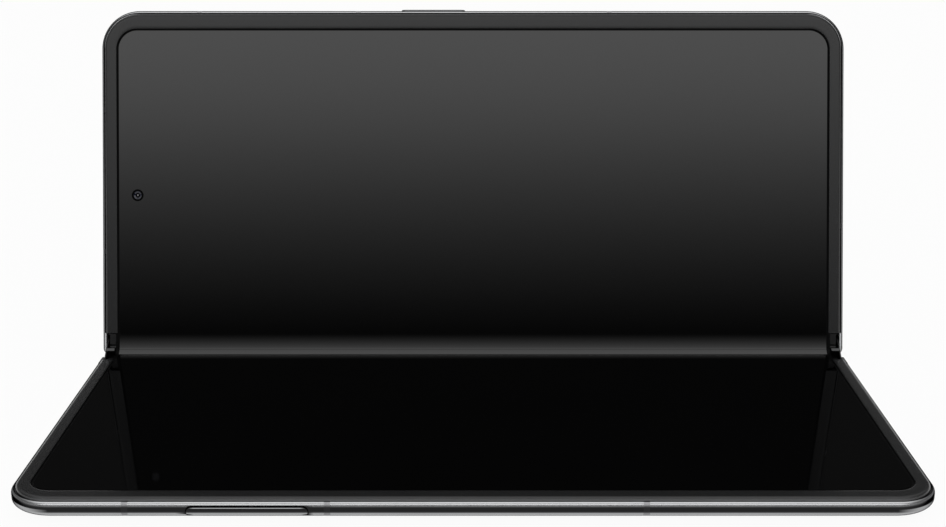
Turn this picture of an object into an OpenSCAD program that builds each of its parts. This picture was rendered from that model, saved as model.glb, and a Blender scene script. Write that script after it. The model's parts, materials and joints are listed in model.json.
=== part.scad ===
/* Foldable smartphone, standing half open like a small laptop.
   The lower half lies flat, screen up. The upper half stands behind it.
   X runs along the hinge, Y away from the user and Z up. The origin is the middle of the
   underside of the lower half.
   Each half is modelled in its own frame: x along the hinge, s outward from the hinge's
   middle (kept in Y) and u out of the screen (kept in Z, with the screen at 0). */

/* [Phone] */
// Length of the phone along the hinge
phone_length = 157; // [150:0.5:164]
// Depth of each half, from the middle of the hinge to its outer edge
half_depth = 73.25; // [70:0.25:78]
// Thickness of each half, from the screen to the back
half_thickness = 4.8; // [4.7:0.05:5.4]
// Radius of the outer corners, seen from above
corner_radius = 8; // [7.5:0.25:10]
// Angle between the two screens as stored
open_angle = 105.2; // [60:0.2:180]

/* [Edge] */
// How far the frame's top seam lies inside its outermost line
seam_inset = 0.5; // [0.3:0.05:0.7]
// How far the seam between bezel and frame lies below the screen
seam_drop = 0.35; // [0.3:0.05:0.5]
// Top of the upright band round the frame, below the screen
band_top = 1.25; // [1:0.05:1.5]
// Bottom of the upright band round the frame, below the screen
band_bottom = 1.95; // [1.7:0.05:2.2]
// Inset of the belly point, where the edge turns under
belly_inset = 1.05; // [0.8:0.05:1.3]
// Depth of the belly point below the screen
belly_drop = 3.2; // [3:0.05:3.4]
// Slope of the edge at the belly point, drop per inset
belly_slope = 0.484; // [0.44:0.002:0.6]
// Inset at which the curved edge reaches the flat back
back_inset = 6.5; // [6:0.1:7]
// Thickness of the metal wall round each half
frame_wall = 1.5; // [1.3:0.05:1.6]
// Thickness of the back glass and the cover glass
glass_thickness = 0.55; // [0.45:0.05:0.6]

/* [Screen] */
// Visible width of the raised bezel along the short sides
side_bezel = 3.25; // [3:0.05:4]
// Visible width of the raised bezel along the outer long edges
outer_bezel = 3.8; // [3.5:0.05:4.4]
// Height of the bezel above the screen
bezel_rise = 0.2; // [0.1:0.05:0.25]
// Width of the bezel's rounded outer shoulder
bezel_shoulder = 0.95; // [0.7:0.05:1.1]
// Inner corner radius of the bezel
opening_radius = 4.4; // [4:0.1:5]
// Distance from the hinge's middle to the ends of the bezels
bezel_start = 5.1; // [5:0.05:5.4]
// Distance from the outer edge to the hidden edge of the screen
screen_inset = 2.35; // [2.3:0.05:2.5]
// Thickness of the flexible screen
screen_thickness = 0.3; // [0.2:0.02:0.3]
// Length of screen on each side of the hinge's middle that bends
fold_length = 6; // [5.6:0.1:6.2]
// Distance from each end of the phone to the bending stretch of the screen
fold_inset = 2.9; // [2.85:0.05:4]
// Thickness of the chassis plate behind each half of the screen
plate_thickness = 0.5; // [0.4:0.05:0.6]

/* [Hinge] */
// Distance of each hinge axis from the hinge's middle
axis_spread = 1.95; // [1.93:0.01:2]
// Depth of both hinge axes below the screen
axis_depth = 1.65; // [1.6:0.01:1.67]
// Thickness of the metal lip of each half under the spine
lip_wall = 0.5; // [0.4:0.05:0.6]
// Running gap between the spine and the two halves
hinge_gap = 0.1; // [0.06:0.01:0.15]
// Half of the gap between the two lips when the phone is flat
lip_tip = 0.4; // [0.3:0.05:0.6]
// Wall of the spine cover
spine_wall = 0.4; // [0.35:0.01:0.42]
// Angle below horizontal at which each side of the spine cover ends
spine_edge_angle = 28; // [27:0.5:32]
// Distance from each end of the phone to the spine's end caps
cap_inset = 0.35; // [0.3:0.05:0.7]
// Thickness of each end cap of the spine
cap_thickness = 0.3; // [0.2:0.05:0.4]
// Depth of the end caps' flat tops below the screen
cap_top = 0.3; // [0.25:0.05:0.6]
// Radius of the hinge pins
pin_radius = 0.3; // [0.25:0.01:0.3]
// Running clearance round each pin
pin_clearance = 0.02; // [0.01:0.005:0.03]
// Radius of the knuckles that carry the pins
knuckle_radius = 1.2; // [1.1:0.05:1.2]
// Depth of the hinge arms' top below the screen
arm_drop = 2.05; // [2.02:0.01:2.08]
// Thickness of the hinge arms
arm_thickness = 0.65; // [0.55:0.05:0.7]
// Distance from the hinge's middle to the outer end of the arms
arm_end = 8.2; // [8:0.1:9]
// Width of one pair of hinge arms
arm_width = 5; // [4.5:0.25:7]
// Distance from each end of the phone to the middle of its hinge unit
hinge_inset = 32.5; // [26.5:0.5:42]
// Thickness of the three walls of each hinge bracket
bracket_wall = 1.2; // [1:0.1:1.5]
// Side gap between neighbouring parts on a hinge pin
side_gap = 0.1; // [0.05:0.01:0.15]
// Teeth on each synchronising gear
gear_teeth = 10; // [10:2:10]
// Length of the teeth's tips beyond the pitch circle
gear_addendum = 0.11; // [0.08:0.01:0.12]
// Depth of the teeth below the pitch circle
gear_dedendum = 0.15; // [0.13:0.01:0.15]
// Width of the synchronising gears
gear_width = 1.6; // [1.2:0.1:2]
// Friction washers on each hinge pin
washer_count = 6; // [4:1:8]
// Thickness of each friction washer
washer_thickness = 0.6; // [0.4:0.05:0.8]
// Radius of the friction washers
washer_radius = 1; // [0.8:0.05:1.1]
// Length of the end guards along the hinge
guard_length = 1.25; // [1:0.05:1.25]
// Gap between the bending stretch of the screen and the end guards
guard_gap = 0.1; // [0.08:0.01:0.15]
// Distance from the hinge's middle to the end of the guards
guard_end = 4.95; // [4.8:0.05:4.95]
// Depth of the guards' top below the screen
guard_drop = 0.45; // [0.45:0.01:0.6]
// Half the width of the web between the end guards
web_half_width = 0.65; // [0.5:0.05:0.65]

/* [Wings] */
// Distance from the hinge's middle to the pivot of each wing plate
wing_pivot = 6.6; // [6.6:0.05:6.8]
// Depth of the wing pivots below the screen
wing_pivot_drop = 0.78; // [0.76:0.01:0.82]
// Distance from the hinge's middle to the free edge of each wing plate when flat
wing_free_edge = 3.5; // [3.4:0.05:3.8]
// Thickness of the wing plates
wing_thickness = 0.25; // [0.2:0.01:0.26]
// Gap between the flat screen and the wing plates
wing_gap = 0.07; // [0.05:0.01:0.08]
// Tilt of the wing plates when the phone is closed
wing_tilt_closed = 25; // [23:0.5:26]
// Distance from each end of the phone to the wing plates
wing_inset = 4; // [3.5:0.5:6.5]
// Radius of the wing plates' pivot rods
rod_radius = 0.25; // [0.2:0.01:0.25]
// Width of each lug that holds a wing rod
lug_width = 5; // [3:0.5:8]

/* [Edge details] */
// Width of the plastic antenna breaks
break_width = 1.07; // [0.8:0.01:1.3]
// Depth of the antenna breaks into the frame
break_depth = 0.8; // [0.6:0.05:0.9]
// Length of the raised power key
power_key_length = 13.5; // [11:0.5:15]
// Distance from the phone's top end to the middle of the power key
power_key_inset = 70.1; // [65:0.1:80]
// Height of the side keys, across the edge
key_height = 1.9; // [1.7:0.05:1.9]
// Depth of the side keys' middle line below the screen
key_drop = 1.75; // [1.7:0.01:1.8]
// How far the power key stands proud of the frame
power_key_rise = 0.25; // [0.2:0.01:0.35]
// Travel of the power key
power_key_travel = 0.25; // [0.15:0.01:0.25]
// Length of the volume rocker
rocker_length = 22; // [18:0.5:26]
// Distance from the phone's top end to the middle of the volume rocker
rocker_inset = 37.5; // [36.5:0.1:38.5]
// Gap round the side keys
key_gap = 0.08; // [0.06:0.01:0.12]
// Gap round the volume rocker, which tilts
rocker_gap = 0.1; // [0.08:0.01:0.14]
// Length of the SIM tray's door
tray_length = 20.2; // [18:0.2:22]
// Distance from the phone's top end to the middle of the SIM tray
tray_inset = 41; // [40:0.1:42]
// Height of the SIM tray's door
tray_height = 1.9; // [1.7:0.05:1.95]
// Depth of the tray door's middle line below the screen
tray_drop = 2; // [1.95:0.01:2.1]
// Gap round the SIM tray's door
tray_gap = 0.08; // [0.06:0.01:0.12]
// Depth of the SIM tray into the phone
tray_depth = 17; // [14:0.5:18]
// Width of the USB-C receptacle's shell
usb_width = 8.94; // [8.8:0.02:9]
// Height of the USB-C receptacle's shell
usb_height = 2.96; // [2.9:0.02:2.98]
// Distance of the USB-C port from the hinge's middle
usb_s = 37.3; // [34:0.1:38]
// Depth of the USB-C port's middle line below the screen
usb_drop = 2.3; // [2.29:0.01:2.32]
// Distance of the USB-C receptacle's inner end from the edge
usb_depth = 9.2; // [8.5:0.1:10]

/* [Cameras] */
// Distance from the phone's top end to the inner camera
inner_camera_inset = 7.6; // [6.5:0.1:9.5]
// Distance of the inner camera from the hinge's middle
inner_camera_s = 34.26; // [30:0.1:40]
// Radius of the hole in the screen for the inner camera
inner_hole_radius = 1.25; // [1.2:0.01:1.4]
// Width of the rear camera island, along the hinge
island_length = 26; // [24:0.5:28]
// Depth of the rear camera island, away from the hinge
island_depth = 26; // [24:0.5:27]
// Distance from the phone's top end to the rear camera island
island_end_gap = 8.5; // [7.5:0.25:10]
// Distance from the outer long edge to the rear camera island
island_edge_gap = 7.75; // [7.25:0.25:10]
// Height of the rear camera island above the back glass
island_height = 1.9; // [1.4:0.1:2.4]
// Corner radius of the rear camera island
island_radius = 6.5; // [5:0.25:7]
// Distance of the lenses from the island's middle, both ways
lens_offset = 5.7; // [5.4:0.1:6]
// Radius of the rings round the rear lenses
lens_ring_radius = 4.7; // [4.2:0.1:4.9]

/* [Inside] */
// Gap between an inner part and the shell round it
inner_gap = 0.05; // [0.04:0.01:0.08]
// Thickness of the cover screen's panel, under the cover glass
cover_panel_thickness = 0.35; // [0.25:0.05:0.4]
// Distance from the phone's bottom end to both batteries
battery_end_inset = 12.5; // [12:0.5:18]
// Distance from the phone's top end to both batteries
battery_start_inset = 56.5; // [55:0.5:58]
// Thickness of the circuit boards
board_thickness = 0.7; // [0.5:0.05:0.9]
// Radius of the screws' heads
screw_head_radius = 0.75; // [0.6:0.05:0.8]
// Radius of the screws' shanks
screw_radius = 0.4; // [0.35:0.01:0.42]

/* [Hidden] */

outer_fn = 96;
fine_fn = 32;
over = 1;

// Places along the hinge, all counted from the phone's two ends
half_length = phone_length / 2;
fold_half_length = half_length - fold_inset;
spine_half_length = half_length - cap_inset - cap_thickness;
guard_start = fold_half_length + guard_gap;
wing_half_length = half_length - wing_inset;
hinge_station = half_length - hinge_inset;
power_key_x = power_key_inset - half_length;
rocker_x = rocker_inset - half_length;
tray_x = tray_inset - half_length;
inner_camera_x = inner_camera_inset - half_length;
island_x = island_end_gap + island_length / 2 - half_length;
island_s = half_depth - island_edge_gap - island_depth / 2;
battery_start_x = battery_start_inset - half_length;
battery_end_x = half_length - battery_end_inset;

// Fold of each half at rest, and the places of the two hinge axes
half_fold = (180 - open_angle) / 2;
hinge_y = half_depth / 2;
lower_axis = [hinge_y - axis_spread, half_thickness - axis_depth];
upper_axis = lower_axis + 2 * axis_spread * [cos(half_fold), sin(half_fold)];

// Spine radius that leaves the lips of both halves their wall and their gap
spine_radius = half_thickness - lip_wall - hinge_gap - axis_depth;
spine_bore = spine_radius - spine_wall;
sweep_radius = spine_radius + hinge_gap;
spine_edge_u = -axis_depth - spine_radius * sin(spine_edge_angle);

// Edge profile points, each [inset, height above the screen]
seam = [seam_inset, -seam_drop];
belly = [belly_inset, -belly_drop];
belly_pull = [0, -(belly_drop - belly_inset * belly_slope)];
back_pull = [belly_inset + (half_thickness - belly_drop) / belly_slope, -half_thickness];
back_edge = [back_inset, -half_thickness];
shoulder_pull = [0, -(seam_drop + band_top) * 0.375];
bezel_top = [seam_inset + bezel_shoulder, bezel_rise];
bezel_pull = [seam_inset + bezel_shoulder * 0.27, bezel_rise];
glass_start = 0.2;

function curve(a, b, c, steps, from = 0, to = 1) =
    [for (i = [0:steps]) let (t = from + (to - from) * i / steps)
        (1 - t) * (1 - t) * a + 2 * t * (1 - t) * b + t * t * c];
function turned(point, angle) =
    [point[0] * cos(angle) - point[1] * sin(angle), point[0] * sin(angle) + point[1] * cos(angle)];
function backward(points) = [for (i = [len(points) - 1:-1:0]) points[i]];

metal_curve = concat(
    curve(seam, shoulder_pull, [0, -band_top], 5),
    curve([0, -band_bottom], belly_pull, belly, 5),
    [for (i = [1:3]) curve(belly, back_pull, back_edge, 3, 0, glass_start)[i]]);
glass_curve = curve(belly, back_pull, back_edge, 6, glass_start, 1);
whole_curve = concat(metal_curve, [for (i = [1:6]) glass_curve[i]]);
glass_rim = glass_curve[0];
rim_thickness = 0.33;
mid_rim = glass_curve[2] + [0, glass_thickness];

// Frame section inside the metal curve
shelf_inset = screen_inset - 0.15;
shelf_bottom = 0.95;
flange_inset = 3.6;
flange_thickness = 0.4;
flange_u = glass_rim[1] + rim_thickness;
frame_section = concat(metal_curve, [
    [glass_rim[0], flange_u],
    [flange_inset, flange_u],
    [flange_inset, flange_u + flange_thickness],
    [frame_wall, flange_u + flange_thickness],
    [frame_wall, -shelf_bottom],
    [shelf_inset, -shelf_bottom],
    [shelf_inset, -seam_drop]]);
// The seam's flat top also carries the bezel's foot
glass_section = concat(glass_curve, [
    [back_inset, -half_thickness + glass_thickness],
    mid_rim,
    [glass_rim[0], flange_u]]);
bezel_reach = 5.2;
bezel_foot = shelf_inset;
bezel_section = concat(curve(bezel_top, bezel_pull, seam, 5), [
    [bezel_foot, -seam_drop],
    [bezel_foot, 0],
    [bezel_reach, 0],
    [bezel_reach, bezel_rise]]);
function skin_section(depth) =
    let (last = len(metal_curve) - 1)
    concat(metal_curve, backward([for (i = [0:last])
        metal_curve[i] + depth * [1 - i / last, i / last * 0.6]]));

// The hinge rail, which joins the frame's two sides along the hinge
frame_start = 5;
rail_top = arm_drop + arm_thickness;
rail_back_end = 6.5;
glass_hinge_edge = rail_back_end + inner_gap;
glass_top_u = -half_thickness + glass_thickness;
cavity_start = arm_end + 0.2;
side_floor = flange_u + flange_thickness + inner_gap;

// Hinge unit, laid out along its pins
arm_x = bracket_wall + side_gap;
gear_x = arm_x + arm_width - gear_width;
middle_wall_x = arm_x + arm_width + side_gap;
washer_x = middle_wall_x + bracket_wall + side_gap;
washer_pitch = washer_thickness + side_gap;
end_wall_x = washer_x + washer_count * washer_pitch;
unit_length = end_wall_x + bracket_wall;
bore_radius = pin_radius + pin_clearance;
bracket_half_width = axis_spread + 0.9;
bracket_top = 0.6;
bracket_bottom = axis_depth + 1.85;
gear_pitch_radius = axis_spread / 3;
screw_edge_gap = 0.85;
screw_s = arm_end - screw_edge_gap;
screw_shares = [0.28, 0.72];
screw_depth = 1.1;
screw_head_height = 0.35;
bracket_floor = 0.4;

// Blocks at the spine's two ends, which carry the end guards' pins
end_pin_length = 3;
end_pin_start = fold_half_length - end_pin_length;
web_inset = 0.25;
web_end = spine_half_length - web_inset;
web_drop = 0.1;

// Wing plates
rest_tilt = wing_tilt_closed * half_fold / 90;
wing_top = screen_thickness + wing_gap;
lug_radius = wing_pivot_drop - screen_thickness - 0.03;
lug_inset = 18.5;
lug_span = half_length - lug_inset;
lug_places = [for (share = [-3:2:3]) lug_span * share / 3];
plate_start = wing_pivot + 0.4;

// Flexible circuits that cross the hinge
flex_drop = 2.2;
flex_thickness = 0.1;
flex_width = 12;
flex_hinge_gap = 9.45;
flex_x = hinge_station - unit_length / 2 - flex_hinge_gap - flex_width / 2;
flex_places = [-flex_x, flex_x];
flex_end = 8.6;

// Antenna breaks on the outer edge, and on the two short sides of each half
first_break_inset = 20.7;
second_break_inset = 54.3;
third_break_inset = 49.7;
break_places = [first_break_inset - half_length, second_break_inset - half_length,
    half_length - third_break_inset];
break_reach = 6;
top_break_places = [22.36, 52.36];
bottom_break_places = [27.76, 46.86];

cover_panel_u = glass_top_u + inner_gap;
cavity_top = screen_thickness + plate_thickness + inner_gap;
battery_bottom = -(cover_panel_u + cover_panel_thickness + inner_gap);
battery_top = cavity_top + 0.2;
battery_s = cavity_start + 2.6;
battery_edge_gap = 6.4;
battery_end_s = half_depth - battery_edge_gap;
battery_fold = 2.2;
battery_fold_inset = 3;
battery_fold_height = 1;

// Cover camera, and the circuit boards with the parts on them, each
// [x, s, length, depth, height] from its board's corner
cover_camera_inset = 12.5;
cover_camera_x = cover_camera_inset - half_length;
cover_camera_s = 39;
cover_camera_radius = 1.6;
cover_camera_block = 2.5;
earpiece_speaker_s = cover_camera_s + 5;
board_lift = 0.9;
board_bottom = board_lift - battery_bottom;
board_top = board_bottom + board_thickness;
board_start_s = cavity_start + 2;
board_end_x = battery_start_x - battery_fold - 1.8;
base_board_inset = 5.5;
base_board_x = base_board_inset - half_length;
base_board_end_s = cover_camera_s - 4;
base_chips = [[5, 4.6, 12, 12, 0.9], [23, 3.6, 10, 8, 0.7], [24, 14.6, 16, 7, 0.8], [37, 1.6, 7, 8, 0.6]];
main_board_inset = 11.5;
main_board_x = main_board_inset - half_length;
main_board_end_s = island_s - island_depth / 2 + 0.5;
side_board_inset = 3;
side_board_x = side_board_inset - half_length;
side_board_end_s = inner_camera_s - 4;
side_chips = [[2, 3.6, 5.5, 10, 0.8]];
shield_boxes = [[4, 3.6, 17, 13, 0.85], [24, 3.6, 14, 20, 0.85], [5, 19.6, 16, 7, 0.7]];

// Keys, SIM tray, sound and port
earpiece_s = 34;
earpiece_holes = 4;
speaker_hole_s = 50.5;
speaker_holes = 5;
hole_pitch = 2;
slot_radius = 0.45;
microphone_s = 24;
box_width = 9;
speaker_margin = 3;
motor_s = 12;
motor_length = 10;
tray_wall = 0.2;
tray_start = half_depth - tray_depth;
tray_body_inset = 2;
tray_body_height = 0.9;
card_half_length = 6.2;
card_depth = 8.8;
card_margin = 1.4;
reader_wall = 0.6;
usb_shell = 0.2;
usb_start = 2.6;
usb_back = 0.6;
usb_tongue_width = 6.7;
usb_tongue_thickness = 0.7;
key_flange_inset = frame_wall + 0.06;
key_core_end = key_flange_inset + 0.05;
key_flange_thickness = 0.4;
key_flange_reach = 0.75;
switch_inset = key_flange_inset + key_flange_thickness + power_key_travel + 0.02;
switch_depth = 0.8;
switch_half_length = 8;
rocker_face = 0.02;
rocker_pivot_radius = 0.5;
rocker_nub_height = 1.2;
rocker_axis_inset = switch_inset - rocker_gap / 3 - rocker_pivot_radius;

// Rear cameras, two by two with the flash in the fourth place
lens_places = [[-1, 1], [1, 1], [-1, -1]];
flash_place = [1, -1];
lens_bore_radius = lens_ring_radius - 0.8;
barrel_radius = lens_bore_radius - 0.3;
barrel_gap = 0.1;
barrel_height = 3.4;
camera_block = 4.6;
lens_ring_height = 0.35;
flash_radius = 1.9;
flash_gap = 0.02;
lens_glass_thickness = 0.5;
island_face = -half_thickness - island_height;
inner_barrel = 1.9;
inner_block = 2.6;
inner_lens_thickness = 0.22;
coil_radius = 21;
coil_bore_radius = 10;
coil_thickness = 0.3;
coil_x = (battery_start_x + battery_end_x) / 2;
coil_s = (battery_s + battery_end_s) / 2;

// Places of the halves and of the spine, as stored
module on_base() {
    translate([0, hinge_y, half_thickness]) mirror([0, 1, 0]) children();
}
module on_spine() {
    translate([0, lower_axis[0], lower_axis[1]]) rotate([half_fold, 0, 0])
        translate([0, axis_spread, axis_depth]) children();
}
module on_lid() {
    translate([0, upper_axis[0], upper_axis[1]]) rotate([2 * half_fold, 0, 0])
        translate([0, -axis_spread, axis_depth]) children();
}

// Copies on both ends of the phone
module both_ends() {
    for (side = [0, 1]) mirror([side, 0, 0]) children();
}

// A section [s, u] extruded along the hinge, from one x to another
module along_hinge(from_x, to_x) {
    translate([from_x, 0, 0]) rotate([90, 0, 90]) linear_extrude(to_x - from_x) children();
}

// A rod along the hinge
module rod(s, drop, radius, from_x, to_x, facets = fine_fn) {
    translate([from_x, s, -drop]) rotate([0, 90, 0]) cylinder(r = radius, h = to_x - from_x, $fn = facets);
}

// A box in a half's frame
module block(from, to) {
    translate(from) cube(to - from);
}

// A section [inset, u] swept round the two short sides and the outer edge of a half
module ring(points, start) {
    both_ends() {
        translate([-half_length, half_depth - corner_radius, 0]) rotate([90, 0, 0])
            linear_extrude(half_depth - corner_radius - start) polygon(points);
        translate([half_length - corner_radius, half_depth - corner_radius, 0])
            rotate_extrude(angle = 90, $fn = outer_fn)
                polygon([for (q = points) [corner_radius - q[0], q[1]]]);
    }
    translate([-(half_length - corner_radius), half_depth, 0]) rotate([90, 0, 90])
        linear_extrude(phone_length - 2 * corner_radius) polygon([for (q = points) [-q[0], q[1]]]);
}

// Outline of a half, set in by a distance, with its two outer corners rounded
module half_outline(inset, start) {
    width = phone_length - 2 * inset;
    core = phone_length - 2 * corner_radius;
    translate([-width / 2, start]) square([width, half_depth - corner_radius - start]);
    translate([-core / 2, start]) square([core, half_depth - inset - start]);
    for (side = [-1, 1])
        translate([side * core / 2, half_depth - corner_radius])
            circle(r = corner_radius - inset, $fn = outer_fn);
}

// A pill shape in the plane of an edge, extruded inward from a given inset
module edge_pill(length, height, from_inset, to_inset) {
    translate([0, half_depth - from_inset, 0]) rotate([90, 0, 0]) linear_extrude(to_inset - from_inset) {
        translate([-(length - height) / 2, -height / 2]) square([length - height, height]);
        for (side = [-1, 1])
            translate([side * (length - height) / 2, 0]) circle(d = height, $fn = fine_fn);
    }
}

// Everything that the spine sweeps through as a half turns about its axis
module spine_sweep() {
    rod(axis_spread, axis_depth, sweep_radius, -phone_length, phone_length, outer_fn);
    block([-phone_length, -over, -(axis_depth + sweep_radius)], [phone_length, axis_spread, over]);
    block([-phone_length, -over, -axis_depth], [phone_length, frame_start, over]);
}

module break_slabs() {
    for (x = break_places)
        block([x - break_width / 2, half_depth - break_reach, -half_thickness],
            [x + break_width / 2, half_depth + over, 0]);
    for (s = top_break_places)
        block([-half_length - over, s - break_width / 2, -half_thickness],
            [-half_length + break_reach, s + break_width / 2, 0]);
    for (s = bottom_break_places)
        block([half_length - break_reach, s - break_width / 2, -half_thickness],
            [half_length + over, s + break_width / 2, 0]);
}

module antenna_breaks() {
    intersection() {
        ring(skin_section(break_depth), frame_start);
        break_slabs();
    }
}

// Metal frame of one half: the ring round three sides and the rail along the hinge
module half_frame() {
    difference() {
        union() {
            ring(frame_section, frame_start);
            intersection() {
                translate([0, rail_back_end, 0]) rotate([90, 0, 0]) linear_extrude(rail_back_end - lip_tip)
                    polygon(concat(
                        [for (q = whole_curve) [-half_length + q[0], q[1]]],
                        backward([for (q = whole_curve) [half_length - q[0], q[1]]])));
                block([-half_length, lip_tip, -half_thickness],
                    [half_length, rail_back_end, -rail_top]);
            }
            // Ledge that carries the arms, above the back glass
            block([-half_length + back_inset, rail_back_end - over, glass_top_u + inner_gap],
                [half_length - back_inset, arm_end, -rail_top]);
            block([-half_length + frame_wall / 2, rail_back_end - over, flange_u],
                [half_length - frame_wall / 2, arm_end, -rail_top]);
        }
        spine_sweep();
        antenna_breaks();
        for (x = screw_places())
            translate([x, screw_s, -rail_top - screw_depth - 0.1])
                cylinder(r = screw_radius, h = screw_depth + over, $fn = fine_fn);
    }
}

function unit_places() = [-hinge_station - unit_length / 2, hinge_station - unit_length / 2];
function screw_places() = [for (x = unit_places()) for (share = screw_shares) x + arm_x + share * arm_width];

module half_bezel() {
    difference() {
        ring(bezel_section, bezel_start);
        translate([0, 0, -over]) linear_extrude(2 * over) {
            width = phone_length - 2 * side_bezel;
            core = width - 2 * opening_radius;
            translate([-width / 2, 0]) square([width, half_depth - outer_bezel - opening_radius]);
            translate([-core / 2, 0]) square([core, half_depth - outer_bezel]);
            for (side = [-1, 1])
                translate([side * core / 2, half_depth - outer_bezel - opening_radius])
                    circle(r = opening_radius, $fn = outer_fn);
        }
    }
}

module half_glass() {
    ring(glass_section, glass_hinge_edge);
    translate([0, 0, -half_thickness]) linear_extrude(glass_thickness)
        half_outline(back_inset, glass_hinge_edge);
}

// Chassis plate behind the screen, with the lugs that hold the wing plate's rod
module half_chassis_plate() {
    difference() {
        union() {
            translate([0, 0, -screen_thickness - plate_thickness]) linear_extrude(plate_thickness)
                half_outline(shelf_inset + inner_gap, plate_start);
            for (x = lug_places) {
                rod(wing_pivot, wing_pivot_drop, lug_radius, x - lug_width / 2, x + lug_width / 2);
                block([x - lug_width / 2, wing_pivot, -screen_thickness - plate_thickness],
                    [x + lug_width / 2, plate_start + over, -screen_thickness - 0.03]);
            }
        }
        for (x = lug_places)
            rod(wing_pivot, wing_pivot_drop, rod_radius + pin_clearance, x - lug_width, x + lug_width);
    }
}

module half_screen() {
    translate([0, 0, -screen_thickness]) linear_extrude(screen_thickness)
        half_outline(screen_inset, fold_length);
}

// Wing plate: it drops into its half as the phone closes, to make room for the screen's loop
module half_wing_plate() {
    translate([0, wing_pivot, -wing_pivot_drop]) rotate([rest_tilt, 0, 0])
        translate([0, -wing_pivot, wing_pivot_drop]) difference() {
            union() {
                rod(wing_pivot, wing_pivot_drop, rod_radius, -wing_half_length, wing_half_length);
                block([-wing_half_length, wing_free_edge, -wing_top - wing_thickness],
                    [wing_half_length, wing_pivot, -wing_top]);
                block([-wing_half_length, wing_pivot - 0.2, -wing_pivot_drop],
                    [wing_half_length, wing_pivot, -wing_top - wing_thickness / 2]);
            }
            for (x = lug_places)
                difference() {
                    block([x - lug_width / 2 - side_gap, wing_pivot - lug_radius - 0.2, -2],
                        [x + lug_width / 2 + side_gap, wing_pivot + over, 0]);
                    rod(wing_pivot, wing_pivot_drop, rod_radius, x - lug_width, x + lug_width);
                }
        }
}

// Gear outline, with straight-sided teeth. Turned so that a tooth, or a gap, points at angle 0.
module gear_section(first_tooth) {
    root = gear_pitch_radius - gear_dedendum;
    tip = gear_pitch_radius + gear_addendum;
    flanks = [[root, -10], [gear_pitch_radius, -7], [tip, -3], [tip, 3], [gear_pitch_radius, 7], [root, 10]];
    polygon([for (tooth = [0:gear_teeth - 1]) for (f = flanks)
        turned([f[0], 0], first_tooth + tooth * 360 / gear_teeth + f[1])]);
}

// Hinge arms of one half: two knuckles with a synchronising gear each
module half_hinge_arms(tooth_at_middle) {
    half_pitch = 180 / gear_teeth;
    for (x = unit_places()) difference() {
        union() {
            rod(axis_spread, axis_depth, knuckle_radius, x + arm_x, x + gear_x - side_gap);
            block([x + arm_x, axis_spread, -rail_top], [x + gear_x - side_gap, arm_end, -arm_drop]);
            block([x + arm_x, axis_spread + knuckle_radius + gear_addendum, -rail_top],
                [x + arm_x + arm_width, arm_end, -arm_drop]);
            translate([x + gear_x - side_gap, axis_spread, -axis_depth]) rotate([90, 0, 90])
                linear_extrude(gear_width + side_gap)
                    gear_section(180 - half_fold + (tooth_at_middle ? 0 : half_pitch));
        }
        rod(axis_spread, axis_depth, bore_radius, x, x + unit_length);
        for (share = screw_shares)
            translate([x + arm_x + share * arm_width, screw_s, -rail_top - over])
                cylinder(r = screw_radius + pin_clearance, h = 3, $fn = fine_fn);
    }
}

module half_end_guards() {
    both_ends() difference() {
        union() {
            rod(axis_spread, axis_depth, knuckle_radius, guard_start, guard_start + guard_length);
            block([guard_start, axis_spread, -rail_top],
                [guard_start + guard_length, guard_end, -guard_drop]);
            block([guard_start, guard_end - 1, -rail_top], [guard_start + guard_length, arm_end, -arm_drop]);
        }
        rod(axis_spread, axis_depth, bore_radius, guard_start - over, guard_start + guard_length + over);
    }
}

module half_screws() {
    for (x = screw_places()) {
        translate([x, screw_s, -rail_top - screw_depth])
            cylinder(r = screw_radius, h = screw_depth + arm_thickness + screw_head_height / 2, $fn = fine_fn);
        translate([x, screw_s, -arm_drop])
            cylinder(r = screw_head_radius, h = screw_head_height, $fn = fine_fn);
    }
}

// Batteries: a soft pack with a raised fold along one side
module battery() {
    block([battery_start_x, battery_s, -battery_bottom], [battery_end_x, battery_end_s, -battery_top]);
    block([battery_start_x - battery_fold, battery_s + battery_fold_inset, -battery_bottom],
        [battery_start_x, battery_end_s - battery_fold_inset, battery_fold_height - battery_bottom]);
}

// Sound holes along a short side, side -1 at the top end and 1 at the bottom end
module side_holes(side, first_s, count) {
    for (i = [0:count - 1])
        translate([side * half_length, first_s + hole_pitch * i, -key_drop]) rotate([0, -90 * side, 0])
            translate([0, 0, -over]) cylinder(r = slot_radius, h = frame_wall + 2 * over, $fn = fine_fn);
}

// Parts standing on a circuit board whose corner is at [x, s]
module board_parts(corner, parts) {
    for (q = parts)
        translate([corner[0] + q[0], corner[1] + q[1], board_top]) cube([q[2], q[3], q[4]]);
}

// ---- Lower half ----

module base_frame() {
    color("dimgray") on_base() difference() {
        half_frame();
        translate([tray_x, 0, -tray_drop])
            edge_pill(tray_length + 2 * tray_gap, tray_height + 2 * tray_gap, -over, frame_wall + 0.2);
        side_holes(-1, earpiece_s, earpiece_holes);
    }
}

module base_bezel() { color([0.13, 0.13, 0.14]) on_base() half_bezel(); }
module base_antenna_breaks() { color([0.2, 0.2, 0.2]) on_base() antenna_breaks(); }
module base_chassis_plate() { color("silver") on_base() half_chassis_plate(); }
module display_lower() { color([0.03, 0.03, 0.03]) on_base() half_screen(); }
module base_wing_plate() { color("gray") on_base() half_wing_plate(); }
module base_hinge_arms() { color("lightgray") on_base() half_hinge_arms(true); }
module base_end_guards() { color([0.25, 0.25, 0.26]) on_base() half_end_guards(); }
module base_screws() { color("darkgray") on_base() half_screws(); }
module base_battery() { color([0.1, 0.1, 0.1]) on_base() battery(); }

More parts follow.
